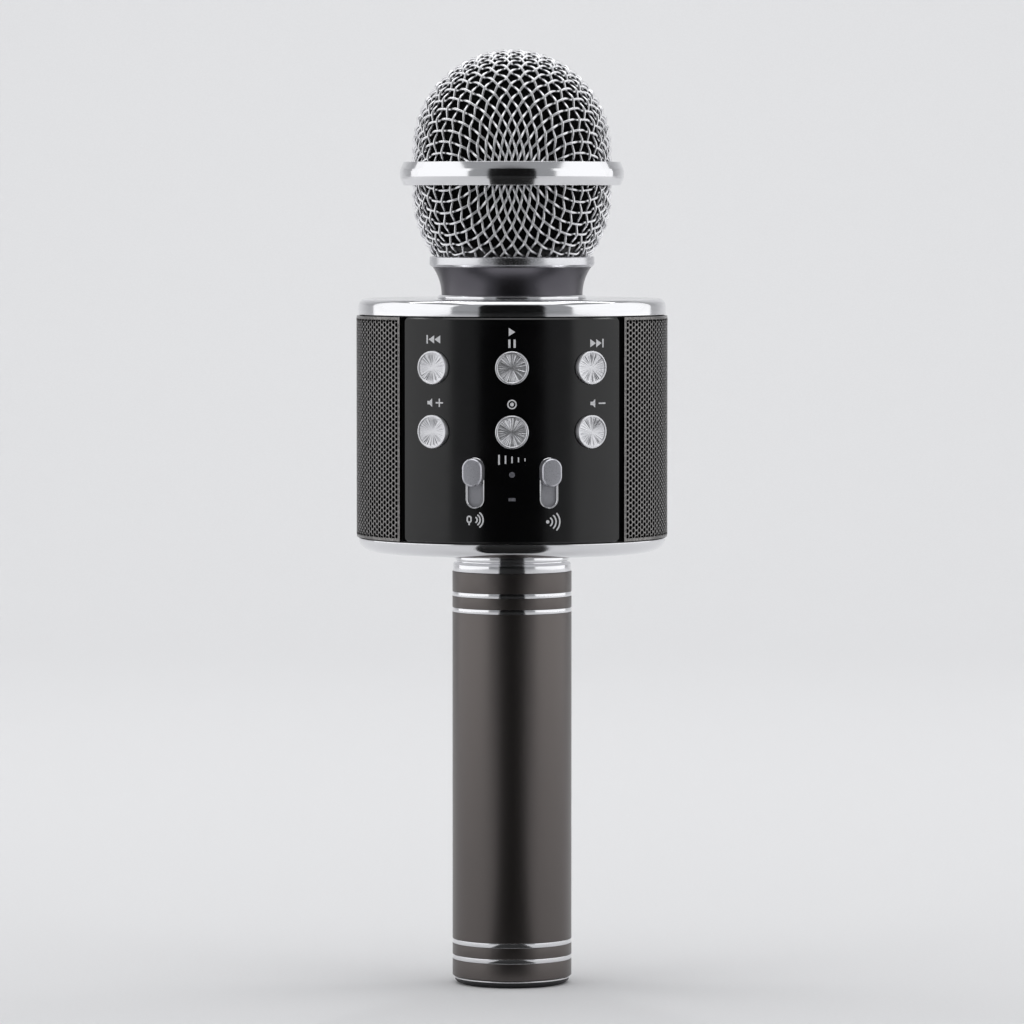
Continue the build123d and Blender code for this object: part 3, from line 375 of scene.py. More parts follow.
near, far, low, high = spigot + 0.1, grip - 0.45, lip_z + 0.02, lip_z + 0.38
outline = [(near, low), (far, low), (far, high), (near, high)]
hairline = turned("end_cap_hairline_ring", outline, chrome, edge=0.1)
place(hairline, "end_thread_ring", "trim_chrome", "end_cap_ring")
print("foot radius", round(foot, 2))

# %% [markdown]
# A chromed collar joins the handle to the drum: a plain shoulder, then a narrower neck with one raised bead.
# Its inner tube passes through the drum's floor and is clamped by a nut, which stays as its CAD shape.

# %% Collar
col_low, col_top = (size_of("handle_collar")[k][2] for k in (0, 1))
drum_low = size_of("bottom_cap")[0][2]
shoulder, waist, bead, bore = 15.6, 14.7, 15.0, 8.0
sleeve_r, boss_r = grip - wall - 0.02, 11.0
outline = [
    *((bore, col_low), (sleeve_r, col_low), (sleeve_r, top)),
    *((shoulder, top + 0.04), (shoulder, top + 1.9), (shoulder - 0.2, top + 2.3), (shoulder - 0.6, top + 2.5)),
    *((waist, top + 2.5), (waist, drum_low - 2.4), (bead, drum_low - 2.2), (bead, drum_low - 1.2)),
    *((waist, drum_low - 1.0), (waist, drum_low), (boss_r, drum_low), (boss_r, col_top), (bore, col_top)),
]
collar = turned("collar_chromed", outline, chrome, edge=0.12)
place(collar, "microphone_body", "trim_chrome", "handle_collar")
print("collar from", round(top, 2), "to", round(drum_low, 2))

# %% [markdown]
# The drum is closed by two chromed caps. The lower one is deep-drawn with a wide rounded rim, and the upper one
# is flatter. Each outline follows the CAD section, with its rim as a true curve of many short steps.


# %% Drum caps
def oval(centre_r, centre_z, wide, tall, start, end, steps):
    """Points of an oval's arc in the (radius, height) plane, in degrees."""
    sweep = np.radians(np.linspace(start, end, steps + 1))
    return [(centre_r + wide * math.cos(a), centre_z + tall * math.sin(a)) for a in sweep]


low_z, high_z = (size_of("bottom_cap")[k][2] for k in (0, 1))
rim = size_of("bottom_cap")[1][0]
inside, plate, hub = 38.85, 2.0, 11.1
rim_wide, rim_tall = 4.9, 3.5
outline = [(hub, low_z), *oval(rim - rim_wide, low_z + rim_tall, rim_wide, rim_tall, -90, 0, 17)]
outline += [(rim, high_z), (inside, high_z), (inside, low_z + plate), (hub, low_z + plate)]
bottom_cap = turned("drum_bottom_cap_chromed", outline, chrome, edge=0.1, segments=220)
place(bottom_cap, "microphone_body", "trim_chrome", "bottom_cap")

low_z, drum_top = (size_of("top_cap")[k][2] for k in (0, 1))
neck_hole, rim_round = 17.0, 1.9
outline = [(neck_hole, drum_top - plate), (inside, drum_top - plate), (inside, low_z), (rim, low_z)]
outline += oval(rim - rim_round, drum_top - rim_round, rim_round, rim_round, 0, 90, 14)
outline += [(neck_hole, drum_top)]
top_cap = turned("drum_top_cap_chromed", outline, chrome, edge=0.1, segments=220)
place(top_cap, "microphone_body", "trim_chrome", "top_cap")
print("rim radius", round(rim, 2), "drum", round(drum_low, 2), "to", round(drum_top, 2))

# %% [markdown]
# The neck flares like a small trumpet from a bright ring on the drum to the head's base ring. Inside the wire
# the base ring goes on as a sleeve, coloured black there as painted shade, so that it doesn't show.

# %% Neck and base ring
trim_low, trim_high = size_of("neck_trim_ring")
trim_r, neck_base, chamfer = trim_high[0], trim_high[2], 0.35
outline = [(neck_hole, trim_low[2]), (trim_r, trim_low[2]), (trim_r, neck_base - chamfer)]
outline += [(trim_r - chamfer, neck_base), (neck_hole, neck_base)]
neck_ring = turned("neck_ring_chromed", outline, chrome, edge=0.1)
place(neck_ring, "microphone_body", "trim_chrome", "neck_trim_ring")

base_low, base_high = size_of("base_ring")
head_base, outer = base_low[2], base_high[0]
neck_bottom, collar_top = (size_of("neck_collar")[k][2] for k in (0, 1))
foot_r, lip_r, tube_r, spigot_r, neck_bore = 18.65, 21.0, 16.9, 18.45, 14.5
rise, flare = head_base - neck_base, lip_r - foot_r
bow = (flare**2 + rise**2) / (2 * flare)
outline = [(tube_r, neck_bottom), (tube_r, neck_base)]
outline += [(foot_r + bow - math.sqrt(bow**2 - h**2), neck_base + h) for h in np.linspace(0, rise, 18)]
outline += [(spigot_r, head_base), (spigot_r, collar_top), (neck_bore, collar_top), (neck_bore, neck_bottom)]
neck = turned("neck_trumpet_gunmetal", outline, gunmetal, edge=0.08)
place(neck, "microphone_body", "anodised_handle", "neck_collar")

ring_top = head_base + 2.75
ring_bore, sleeve_out = 18.59, 19.39
outline = [(ring_bore, head_base), (outer - 0.6, head_base), (outer, head_base + 0.6), (outer, ring_top - 0.3)]
outline += [(outer - 0.3, ring_top), (sleeve_out, ring_top)]
outline += [(sleeve_out, base_high[2]), (ring_bore, base_high[2])]
base_ring = turned("head_base_ring_satin", outline, satin_nickel, edge=0.12)
# painted shade: the sleeve's faces above the ring's top get matt black in place of the satin plating
base_ring.data.materials.append(matt_black)
for face in base_ring.data.polygons:
    face.material_index = int(face.center[2] > (ring_top + 0.02) * MM)
place(base_ring, "head_thread_ring", "satin_silver", "base_ring")
print("neck from", round(neck_base, 2), "to", round(head_base, 2))

# %% [markdown]
# The head is woven wire, pressed from flat square cloth into a bowl. The wires don't stretch, so every mesh
# keeps its side length and only its angles change: squares at the crown, and narrow diamonds low down between
# the four main wires. That is a fisherman's net on a ball, and each knot follows from three neighbours: one
# wire pitch from two of them, and on the bowl. Solving for each knot in turn gives the real drape, which no
# flat pattern would.


# %% Knots of the net
def drape(radius, straight, pitch):
    """Knots of square wire cloth on a dome with a straight wall below. The pole is +Z, the centre 0."""
    reach = int((radius * math.pi / 2 + straight) / pitch) + 4
    corner = {}

    def meridian(length, azimuth):
        turn = math.radians(azimuth)
        if length < radius * math.pi / 2:
            flat, up = radius * math.sin(length / radius), radius * math.cos(length / radius)
        else:
            flat, up = radius, radius * math.pi / 2 - length
        return np.array([flat * math.cos(turn), flat * math.sin(turn), up])

    spacing = 2 * radius * math.asin(pitch / 2 / radius)
    for k in range(reach):
        corner[k, 0] = meridian(k * spacing, -45)
        corner[0, k] = meridian(k * spacing, 45)
    for i in range(1, reach):
        for j in range(1, reach):
            a, b, c = (corner.get(key) for key in ((i - 1, j), (i, j - 1), (i - 1, j - 1)))
            if a is None or b is None or c is None:
                continue
            q = a + b - c
            for _ in range(20):
                side = np.array([q[0], q[1], max(q[2], 0.0)])
                gaps = [(q - a) @ (q - a) - pitch**2, (q - b) @ (q - b) - pitch**2, side @ side - radius**2]
                miss, slope = np.array(gaps), 2 * np.array([q - a, q - b, side])
                if abs(np.linalg.det(slope)) < 1e-6:
                    break
                q = q - np.linalg.solve(slope, miss)
            low_enough = q[2] > -straight - 2 * pitch
            if abs(miss).max() < 1e-3 and low_enough and np.linalg.norm(q - c) > 0.4 * pitch:
                corner[i, j] = q
    knots = {}
    for (a, b), (x, y, z) in corner.items():
        knots[a, b] = np.array([x, y, z])
        knots[-b, a] = np.array([-y, x, z])
        knots[-a, -b] = np.array([-x, -y, z])
        knots[b, -a] = np.array([y, -x, z])
    return knots


def strands(knots, lift, low, high):
    """The wires through the knots, over and under by lift, kept where the height is between low and high."""
    wires = []
    for way in (0, 1):
        lines = {}
        for key in knots:
            lines.setdefault(key[1 - way], []).append(key)
        for keys in lines.values():
            keys.sort(key=lambda key: key[way])
            run, before = [], None
            for key in keys:
                knot = knots[key]
                out = np.array([knot[0], knot[1], max(knot[2], 0.0)])
                side = 1 if (sum(key) + way) % 2 else -1
                here = knot + out / np.linalg.norm(out) * side * lift
                follows = before is not None and key[way] - before[0] == 1
                inside = low <= here[2] <= high
                if follows and inside != before[2]:
                    edge = low if min(here[2], before[1][2]) < low else high
                    t = (edge - before[1][2]) / (here[2] - before[1][2])
                    run.append(before[1] + t * (here - before[1]))
                    if not inside:
                        wires.append(run)
                        run = []
                elif not follows and run:
                    wires.append(run)
                    run = []
                if inside:
                    run.append(here)
                before = (key[way], here, inside)
            if run:
                wires.append(run)
    return [run for run in wires if len(run) > 1]


wire, pitch, lift = 0.7, 2.95, 0.5
bowl_low, bowl_high = size_of("upper_bowl")
head_r = (bowl_high - bowl_low)[0] / 2
mid_r = head_r - wire / 2 - lift
crown_z, seam_z = bowl_high[2] - head_r, bowl_low[2]
mouth_r, trim = 20.9, 0.05
bowl_z = ring_top + math.sqrt(head_r**2 - mouth_r**2)
upper_net = drape(mid_r, crown_z - seam_z, pitch)
lower_net = drape(mid_r, seam_z - bowl_z, pitch)
upper_wires = strands(upper_net, lift, seam_z - crown_z + trim, 99)
lower_wires = strands(lower_net, lift, bowl_z - seam_z + trim, bowl_z - ring_top - trim)
print(len(upper_wires), "wires above,", len(lower_wires), "below; seam at", round(seam_z, 2))

# %% [markdown]
# A wire is a smooth line through its knots with a round section swept along it. A Geometry Nodes tree does that
# for all the wires at once: it smooths the lines, sweeps a circle of the wire's radius, closes the ends, and
# gives them their finish.


# %% Sweeping the wire
def new_tree(name, sockets):
    """A Geometry Nodes tree with named inputs, its input node and its output node."""
    tree = bpy.data.node_groups.new(name, "GeometryNodeTree")
    tree.interface.new_socket("Geometry", in_out="INPUT", socket_type="NodeSocketGeometry")
    tree.interface.new_socket("Geometry", in_out="OUTPUT", socket_type="NodeSocketGeometry")
    for label, kind in sockets:
        tree.interface.new_socket(label, in_out="INPUT", socket_type=kind)
    return tree, add(tree, "NodeGroupInput"), add(tree, "NodeGroupOutput")


def grown(name, tree, values):
    """Runs a tree on an empty mesh with its inputs set by identifier, and keeps the result as a plain mesh."""
    mesh = bpy.data.meshes.new(name)
    made = bpy.data.objects.new(name, mesh)
    bpy.context.scene.collection.objects.link(made)
    grower = made.modifiers.new("grow", "NODES")
    grower.node_group = tree
    for item in tree.interface.items_tree:
        if item.in_out == "INPUT" and item.name in values:
            grower[item.identifier] = values[item.name]
    return plain(made)


def finished(tree, shape, out, coat):
    """Ends a tree: real geometry in place of instances, with its finish."""
    real = add(tree, "GeometryNodeRealizeInstances", None, {0: shape}).outputs[0]
    coated = add(tree, "GeometryNodeSetMaterial", None, {"Geometry": real, "Material": coat})
    tree.links.new(coated.outputs[0], out.inputs[0])


sockets = [("Lines", "NodeSocketObject"), ("Radius", "NodeSocketFloat"), ("Steps", "NodeSocketInt")]
sweeper, given, out = new_tree("swept_wire", [*sockets, ("Finish", "NodeSocketMaterial")])
wanted = given.outputs
lines = add(sweeper, "GeometryNodeObjectInfo", None, {"Object": wanted["Lines"]}).outputs["Geometry"]
smooth = {"spline_type": "CATMULL_ROM"}
spline = add(sweeper, "GeometryNodeCurveSplineType", smooth, {"Curve": lines}).outputs[0]
steps = {"Geometry": spline, "Resolution": wanted["Steps"]}
fine = add(sweeper, "GeometryNodeSetSplineResolution", None, steps).outputs[0]
section = {"Resolution": 8, "Radius": wanted["Radius"]}
circle = add(sweeper, "GeometryNodeCurvePrimitiveCircle", {"mode": "RADIUS"}, section).outputs[0]
swept = {"Curve": fine, "Profile Curve": circle, "Fill Caps": True}
finished(sweeper, add(sweeper, "GeometryNodeCurveToMesh", None, swept).outputs[0], out, wanted["Finish"])


def wire_bowl(name, wires, centre, up):
    """The woven bowl round a centre height in millimetres, pole up or down."""
    lines = bpy.data.curves.new(name + "_lines", "CURVE")
    lines.dimensions = "3D"
    for run in wires:
        spline = lines.splines.new("POLY")
        spline.points.add(len(run) - 1)
        for point, (x, y, z) in zip(spline.points, run):
            point.co = (x * MM, y * MM * up, (centre + z * up) * MM, 1)
    holder = bpy.data.objects.new(name + "_lines", lines)
    bpy.context.scene.collection.objects.link(holder)
    values = {"Lines": holder, "Radius": wire / 2 * MM, "Steps": 4, "Finish": wire_steel}
    made = grown(name, sweeper, values)
    bpy.data.objects.remove(holder)
    shaded(made.data, 60)
    print(name, len(made.data.polygons), "faces")
    return made


upper_bowl = wire_bowl("wire_bowl_upper_woven", upper_wires, crown_z, 1)
place(upper_bowl, "head", "wire_mesh", "upper_bowl")
lower_bowl = wire_bowl("wire_bowl_lower_woven", lower_wires, bowl_z, -1)
place(lower_bowl, "head", "wire_mesh", "lower_bowl")

# %% [markdown]
# A chromed band clamps the two bowls at their rims. It is rolled with three flats: a slope up, a short wall and
# a slope down. Spinning its section keeps the flats crisp.

# %% Band
band_low, band_high = size_of("grille_band")
reach, low, high = band_high[0], band_low[2], band_high[2]
clamp, lip = head_r - 0.05, reach - 0.95
outline = [
    *((clamp, low), (lip, low), (reach - 0.9, low + 0.05), (reach - 0.12, low + 1.7), (reach, low + 2.3)),
    *((reach, high - 2.5), (reach - 0.12, high - 1.9), (reach - 0.9, high - 0.05), (lip, high), (clamp, high)),
]
band = turned("head_band_rolled_chromed", outline, chrome, edge=0.15, segments=200)
place(band, "head", "trim_chrome", "grille_band")
print("band", round(low, 2), "to", round(high, 2), "reach", round(reach, 2))

# %% [markdown]
# Foam lines the wire and shows as black between the meshes. It is a soft bag of even thickness, so its outer
# skin follows the bowls just inside the wire, with shallow random lumps from its cut cells. A dome of many
# small faces is pushed in a little by a fixed noise, then it gets its inner skin as wall thickness.

# %% Foam liner
foam_low, foam_high = size_of("foam_liner")
foam_r = foam_high[0] - 0.45
thick, lump, around = 2.3, 0.006, 150
lowest = -math.asin((bowl_z - foam_low[2]) / foam_r)
rows = [(foam_r * math.cos(a), bowl_z + foam_r * math.sin(a)) for a in np.linspace(lowest, 0, 24)]
rows += [(foam_r, z) for z in np.linspace(bowl_z, crown_z, 14)[1:-1]]
nearly_up = math.radians(88.5)
rows += [(foam_r * math.cos(a), crown_z + foam_r * math.sin(a)) for a in np.linspace(0, nearly_up, 44)]
random = np.random.default_rng(7)
verts, faces = [], []
for r, z in rows:
    for a in np.linspace(0, 2 * math.pi, around, endpoint=False):
        pull = 1 - random.random() * lump
        verts.append((r * pull * math.cos(a), r * pull * math.sin(a), z))
for k in range(len(rows) - 1):
    for s in range(around):
        t = (s + 1) % around
        faces.append((k * around + s, k * around + t, (k + 1) * around + t, (k + 1) * around + s))
verts.append((0, 0, crown_z + foam_r))
last = (len(rows) - 1) * around
faces += [(last + s, last + (s + 1) % around, len(verts) - 1) for s in range(around)]
foam = made_object("foam_liner_cut", verts, faces, foam_black)
skins = foam.modifiers.new("wall", "SOLIDIFY")
skins.thickness, skins.offset = thick * MM, -1
plain(foam)
place(foam, "head", "foam", "foam_liner")
print("foam", len(foam.data.polygons), "faces")

# %% [markdown]
# The drum's side grilles are thin steel sheet with round holes punched in staggered rows, rolled to the drum's
# curve. One hexagonal tile with a hole in it fills a plane without gaps, so a tree lays tiles in columns, joins
# them, and rolls the flat sheet by turning distance along it into angle. The tile has a front, a back and the
# wall of its hole, but no edge, because its neighbours go on there.

# %% One tile of the punched sheet
hole_pitch, hole_r, sheet = 1.45, 0.53, 0.75
corners = 12


def ring_of(radii, z):
    """Twelve points at a height. radii are the even points' and the odd points' distance from the middle."""
    turns = [math.radians(30 * k) for k in range(corners)]
    return [(radii[k % 2] * math.cos(a), radii[k % 2] * math.sin(a), z) for k, a in enumerate(turns)]


hexagon = (hole_pitch / math.sqrt(3), hole_pitch / 2)
rings = [ring_of(hexagon, 0.0), ring_of((hole_r + 0.05,) * 2, -0.04), ring_of((hole_r,) * 2, -sheet)]
rings.append(ring_of(hexagon, -sheet))
verts = [v for ring in rings for v in ring]
faces = []
for r in range(0, 3 * corners, corners):
    for k in range(corners):
        after = (k + 1) % corners
        faces.append((r + k, r + after, r + corners + after, r + corners + k))
tile = made_object("tile", verts, faces, sheet_steel, smooth=False)

# %% Laying and rolling the sheet
whole, real = "NodeSocketInt", "NodeSocketFloat"
sockets = {"Tile": "NodeSocketObject", "Columns": whole, "Rows": whole, "Pitch": real, "Roll radius": real}
sockets.update({"Middle angle": real, "Middle height": real, "Finish": "NodeSocketMaterial"})
roller, given, out = new_tree("punched_sheet", sockets.items())
wanted = given.outputs


def sums(operation, *values):
    """One step of arithmetic."""
    return add(roller, "ShaderNodeMath", {"operation": operation}, dict(enumerate(values))).outputs[0]


def place_now():
    """The three parts of each point's place."""
    spot = add(roller, "GeometryNodeInputPosition").outputs[0]
    return add(roller, "ShaderNodeSeparateXYZ", None, {0: spot}).outputs


step = sums("MULTIPLY", wanted["Pitch"], math.sqrt(3) / 2)
wide = sums("MULTIPLY", sums("SUBTRACT", wanted["Columns"], 1), step)
tall = sums("MULTIPLY", sums("SUBTRACT", wanted["Rows"], 1), wanted["Pitch"])
counts = {"Vertices X": wanted["Columns"], "Vertices Y": wanted["Rows"]}
spots = add(roller, "GeometryNodeMeshGrid", None, {"Size X": wide, "Size Y": tall, **counts})
across = sums("ADD", place_now()["X"], sums("MULTIPLY", wide, 0.5))
column = sums("ROUND", sums("DIVIDE", across, step))
odd = sums("SUBTRACT", sums("MODULO", column, 2.0), 0.5)
up = sums("MULTIPLY", sums("MULTIPLY", odd, wanted["Pitch"]), 0.5)
shift = add(roller, "ShaderNodeCombineXYZ", None, {"Y": up}).outputs[0]
moved = {"Geometry": spots.outputs["Mesh"], "Offset": shift}
staggered = add(roller, "GeometryNodeSetPosition", None, moved).outputs[0]
one = add(roller, "GeometryNodeObjectInfo", None, {"Object": wanted["Tile"]}).outputs["Geometry"]
laid = add(roller, "GeometryNodeInstanceOnPoints", None, {"Points": staggered, "Instance": one}).outputs[0]
solid = add(roller, "GeometryNodeRealizeInstances", None, {0: laid}).outputs[0]
joined = add(roller, "GeometryNodeMergeByDistance", None, {"Geometry": solid, "Distance": 0.02 * MM}).outputs[0]

flat = place_now()
turn = sums("ADD", sums("DIVIDE", flat["X"], wanted["Roll radius"]), wanted["Middle angle"])
out_r = sums("ADD", wanted["Roll radius"], flat["Z"])
rolled = {
    "X": sums("MULTIPLY", out_r, sums("SINE", turn)),
    "Y": sums("MULTIPLY", sums("MULTIPLY", out_r, sums("COSINE", turn)), -1.0),
    "Z": sums("ADD", flat["Y"], wanted["Middle height"]),
}
curved = add(roller, "ShaderNodeCombineXYZ", None, rolled).outputs[0]
bent = add(roller, "GeometryNodeSetPosition", None, {"Geometry": joined, "Position": curved}).outputs[0]
finished(roller, bent, out, wanted["Finish"])

# %% [markdown]
# Each sheet has a thin solid edge where it tucks behind the caps and the channels, drawn as a low curved frame
# just under the sheet's face, so the cut tiles along the edge end on it.


# %% The two grilles
def curved_slab(inner, outer, start, end, low, high, coat, steps=60):
    """A slab between two radii, two angles from the front in degrees, and two heights."""
    verts, faces = [], []
    for k in range(steps + 1):
        a = math.radians(start + (end - start) * k / steps)
        for r, z in ((inner, low), (outer, low), (outer, high), (inner, high)):
            verts.append((r * math.sin(a), -r * math.cos(a), z))
    for k in range(steps):
        for c in range(4):
            d = (c + 1) % 4
            faces.append((4 * k + c, 4 * k + 4 + c, 4 * k + 4 + d, 4 * k + d))
    faces += [(0, 1, 2, 3), (4 * steps + 3, 4 * steps + 2, 4 * steps + 1, 4 * steps)]
    return made_object("slab", verts, faces, coat)


def merged(name, parts):
    """Joins pieces into the first one."""
    work = bmesh.new()
    for part in parts:
        work.from_mesh(part.data)
    work.to_mesh(parts[0].data)
    work.free()
    for part in parts[1:]:
        bpy.data.objects.remove(part)
    parts[0].name = name
    return parts[0]


def close_edges(made):
    """Joins the front and the back outline of a punched sheet with a strip of faces."""
    work = bmesh.new()
    work.from_mesh(made.data)
    bmesh.ops.bridge_loops(work, edges=[edge for edge in work.edges if len(edge.link_faces) == 1])
    open_edges = sum(len(edge.link_faces) != 2 for edge in work.edges)
    work.to_mesh(made.data)
    work.free()
    print(made.name, open_edges, "open edges")


skin_low, skin_high = (size_of("right_grille")[k][2] for k in (0, 1))
drum_r = size_of("right_grille")[1][0]
arc_start, arc_end = 45.4, 150.0
columns = int(math.radians(arc_end - arc_start) * drum_r / (hole_pitch * math.sqrt(3) / 2))
rows_up = int((skin_high - skin_low) / hole_pitch - 0.5)
edge, inner, outer = 0.75, drum_r - 0.8, drum_r - 0.05
for side, word in ((1, "right"), (-1, "left")):
    values = {"Tile": tile, "Columns": columns, "Rows": rows_up, "Finish": sheet_steel}
    values.update({"Pitch": hole_pitch * MM, "Roll radius": drum_r * MM})
    values.update({"Middle angle": math.radians((arc_start + arc_end) / 2) * side})
    values.update({"Middle height": (skin_low + skin_high) / 2 * MM})
    punched = grown(f"grille_{word}_punched", roller, values)
    close_edges(punched)
    shaded(punched.data, 50)
    first, last = sorted((arc_start * side, arc_end * side))
    inset = math.degrees(edge / drum_r)
    frame_parts = [
        punched,
        curved_slab(inner, outer, first, last, skin_low, skin_low + edge, sheet_steel),
        curved_slab(inner, outer, first, last, skin_high - edge, skin_high, sheet_steel),
        curved_slab(inner, outer, first, first + inset, skin_low, skin_high, sheet_steel, 2),
        curved_slab(inner, outer, last - inset, last, skin_low, skin_high, sheet_steel, 2),
    ]
    grille = merged(f"grille_{word}_punched", frame_parts)
    place(grille, "microphone_body", "grille_steel", f"{word}_grille")
    print(grille.name, columns, "columns", rows_up, "rows", len(grille.data.polygons), "faces")
bpy.data.objects.remove(tile)

# %% [markdown]
# The control panel is one curved gloss moulding with holes for every control. Its CAD shape is exact, so a copy
# is kept, with its normals pointing straight out of the drum, which lets the gloss read as one unbroken curve.


# %% Panels
def polished_copy(name, node, coat, slot, sharp=20):
    """A copy of a CAD piece, joined up, with true normals where its wall is part of the drum's curve."""
    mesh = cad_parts[node].data.copy()
    mesh.materials.clear()
    mesh.materials.append(coat)
    made = bpy.data.objects.new(name, mesh)
    bpy.context.scene.collection.objects.link(made)
    work = bmesh.new()
    work.from_mesh(mesh)
    bmesh.ops.remove_doubles(work, verts=work.verts, dist=1e-6)
    for face in work.faces:
        face.smooth = True
    for edge in work.edges:
        if len(edge.link_faces) == 2 and edge.calc_face_angle(0) > math.radians(sharp):
            edge.smooth = False
    work.to_mesh(mesh)
    work.free()
    normals = [tuple(c.vector) for c in mesh.corner_normals]
    for face in mesh.polygons:
        out = np.array([face.center[0], face.center[1], 0.0])
        out /= np.linalg.norm(out) or 1
        way = float(np.array(face.normal) @ out)
        if abs(way) > 0.985:
            for loop in face.loop_indices:
                spot = mesh.vertices[mesh.loops[loop].vertex_index].co
                level = np.array([spot[0], spot[1], 0.0])
                normals[loop] = tuple(level / np.linalg.norm(level) * (1 if way > 0 else -1))
    mesh.normals_split_custom_set(normals)
    place(made, "microphone_body", slot, node)


polished_copy("control_panel_gloss", "front_panel", gloss_black, "gloss_black")
polished_copy("rear_panel_textured", "rear_panel", matt_black, "black_plastic")
print("panels done")

# %% [markdown]
# The buttons are turned aluminium. A polished rim surrounds a dished face that is cut with fine flutes running
# out from the centre, so it glitters in wedges like a cut stone. The rim and dish are a lathe's work, and the
# flutes are a small ripple round the face that grows towards the rim. Everything is built facing up, then set
# on the drum.


# %% Setting a piece on the drum
def set_on_drum(verts, radius, angle, height):
    """Moves points built with +Z outwards, +X level and +Y up onto the drum's wall, in millimetres."""
    a = math.radians(angle)
    origin = np.array([radius * math.sin(a), -radius * math.cos(a), height])
    level = np.array([math.cos(a), math.sin(a), 0.0])
    out = np.array([math.sin(a), -math.cos(a), 0.0])
    up = np.array([0.0, 0.0, 1.0])
    return [origin + level * v[0] + up * v[1] + out * v[2] for v in verts]


# %% Buttons
# a turned face with fine cutting marks, and flutes that each throw the light their own way
jewel = finish("aluminium_turned_fluted", "E2E2E5", (0.36, 0.5), 1.0, (0.2, 0.012, 0.5))
panel_r = 40.95
stem_r, stem_end, flange_r, flange_low, flange_top = 1.6, -8.5, 5.1, -3.29, -2.49
cap_r, count = 4.35, 240
stem_rows = [(stem_r, stem_end), (stem_r, flange_low), (flange_r, flange_low), (flange_r, flange_top)]
cap_rows = [(cap_r, flange_top), (cap_r, -2.4), (cap_r, 0.72), (4.3, 0.86), (4.12, 1.0), (3.9, 1.0)]
cap_rows.append((3.78, 0.9))
fluted_rows = [  # radius, height, and how deep the flutes are there
    *((3.7, 0.84, 0.06), (3.3, 0.8, 0.12), (2.8, 0.74, 0.11), (2.2, 0.69, 0.08)),
    *((1.6, 0.66, 0.05), (1.0, 0.64, 0.02), (0.5, 0.63, 0.008)),
]
profile = [(r, z, 0.0) for r, z in stem_rows + cap_rows] + fluted_rows


def button(name, node, angle, seed):
    """A turned button. Each flute takes three points round its face, and the middle one moves most."""
    spokes = np.random.default_rng(seed).uniform(-1.0, 1.0, count // 3)
    verts, faces = [(0, 0, stem_end)], []
    for r, z, ripple in profile:
        for s in range(count):
            a = 2 * math.pi * s / count
            lift_here = ripple * spokes[s // 3] * (0.4, 1.0, 0.4)[s % 3]
            verts.append((r * math.cos(a), r * math.sin(a), z + lift_here))
    for k in range(len(profile) - 1):
        for s in range(count):
            t = (s + 1) % count
            low, high = 1 + k * count, 1 + (k + 1) * count
            faces.append((low + s, low + t, high + t, high + s))
    faces += [(0, 1 + (s + 1) % count, 1 + s) for s in range(count)]
    verts.append((0, 0, 0.62))
    last = 1 + (len(profile) - 1) * count
    faces += [(last + s, last + (s + 1) % count, len(verts) - 1) for s in range(count)]
    low, high = size_of(node)
    made = made_object(name, set_on_drum(verts, panel_r, angle, (low[2] + high[2]) / 2), faces, jewel)
    shaded(made.data, 28)
    place(made, node, "turned_aluminium", node)


spread = 29.8
for level, row in enumerate((("previous", "play", "next"), ("volume_up", "record", "volume_down"))):
    for side, word in zip((-1, 0, 1), row):
        button(f"button_{word}_turned", f"{word}_button", spread * side, 2 + side + 3 * level)
print("six buttons")

# %% [markdown]
# Each slide control is a satin knob on a short neck. A flat shutter travels with it behind a thin bright bezel,
# so the slot always shows silver. All of these are stacks of the same shape, a bar with round ends, so one
# function lofts a stack of them: length, width and height for every level.


# %% Slide controls
def rounded_bar(length, width, count=48):
    """Points round a bar with half-round ends, standing upright."""
    run, cap = (length - width) / 2, width / 2
    points = []
    for k in range(count):
        a = 2 * math.pi * (k + 0.5) / count
        points.append((cap * math.cos(a), cap * math.sin(a) + (run if math.sin(a) > 0 else -run)))
    return points


def lofted(levels, closed=True, count=48):
    """Points and faces of a stack of rounded bars. If not closed, its last level joins its first, as a ring."""
    verts = [(x, y, z) for length, width, z in levels for x, y in rounded_bar(length, width, count)]
    faces = []
    spans = len(levels) - 1 if closed else len(levels)
    for k in range(spans):
        low, high = k * count, (k + 1) % len(levels) * count
        for s in range(count):
            t = (s + 1) % count
            faces.append((low + s, low + t, high + t, high + s))
    if closed:
        faces.append(tuple(reversed(range(count))))
        faces.append(tuple(range((len(levels) - 1) * count, len(levels) * count)))
    return verts, faces


def slab_points(width, height, low, high, middle=0.0):
    """Points and faces of a flat block, width across, height up, between two heights out of the wall."""
    round_it = ((-1, -1), (1, -1), (1, 1), (-1, 1))
    corners = [(x * width / 2, middle + y * height / 2, z) for z in (low, high) for x, y in round_it]
    return corners, [(3, 2, 1, 0), (4, 5, 6, 7), (0, 1, 5, 4), (1, 2, 6, 5), (2, 3, 7, 6), (3, 0, 4, 7)]


def stacked(*shapes):
    """Several sets of points and faces as one."""
    verts, faces = [], []
    for more_verts, more_faces in shapes:
        faces += [tuple(i + len(verts) for i in face) for face in more_faces]
        verts += more_verts
    return verts, faces


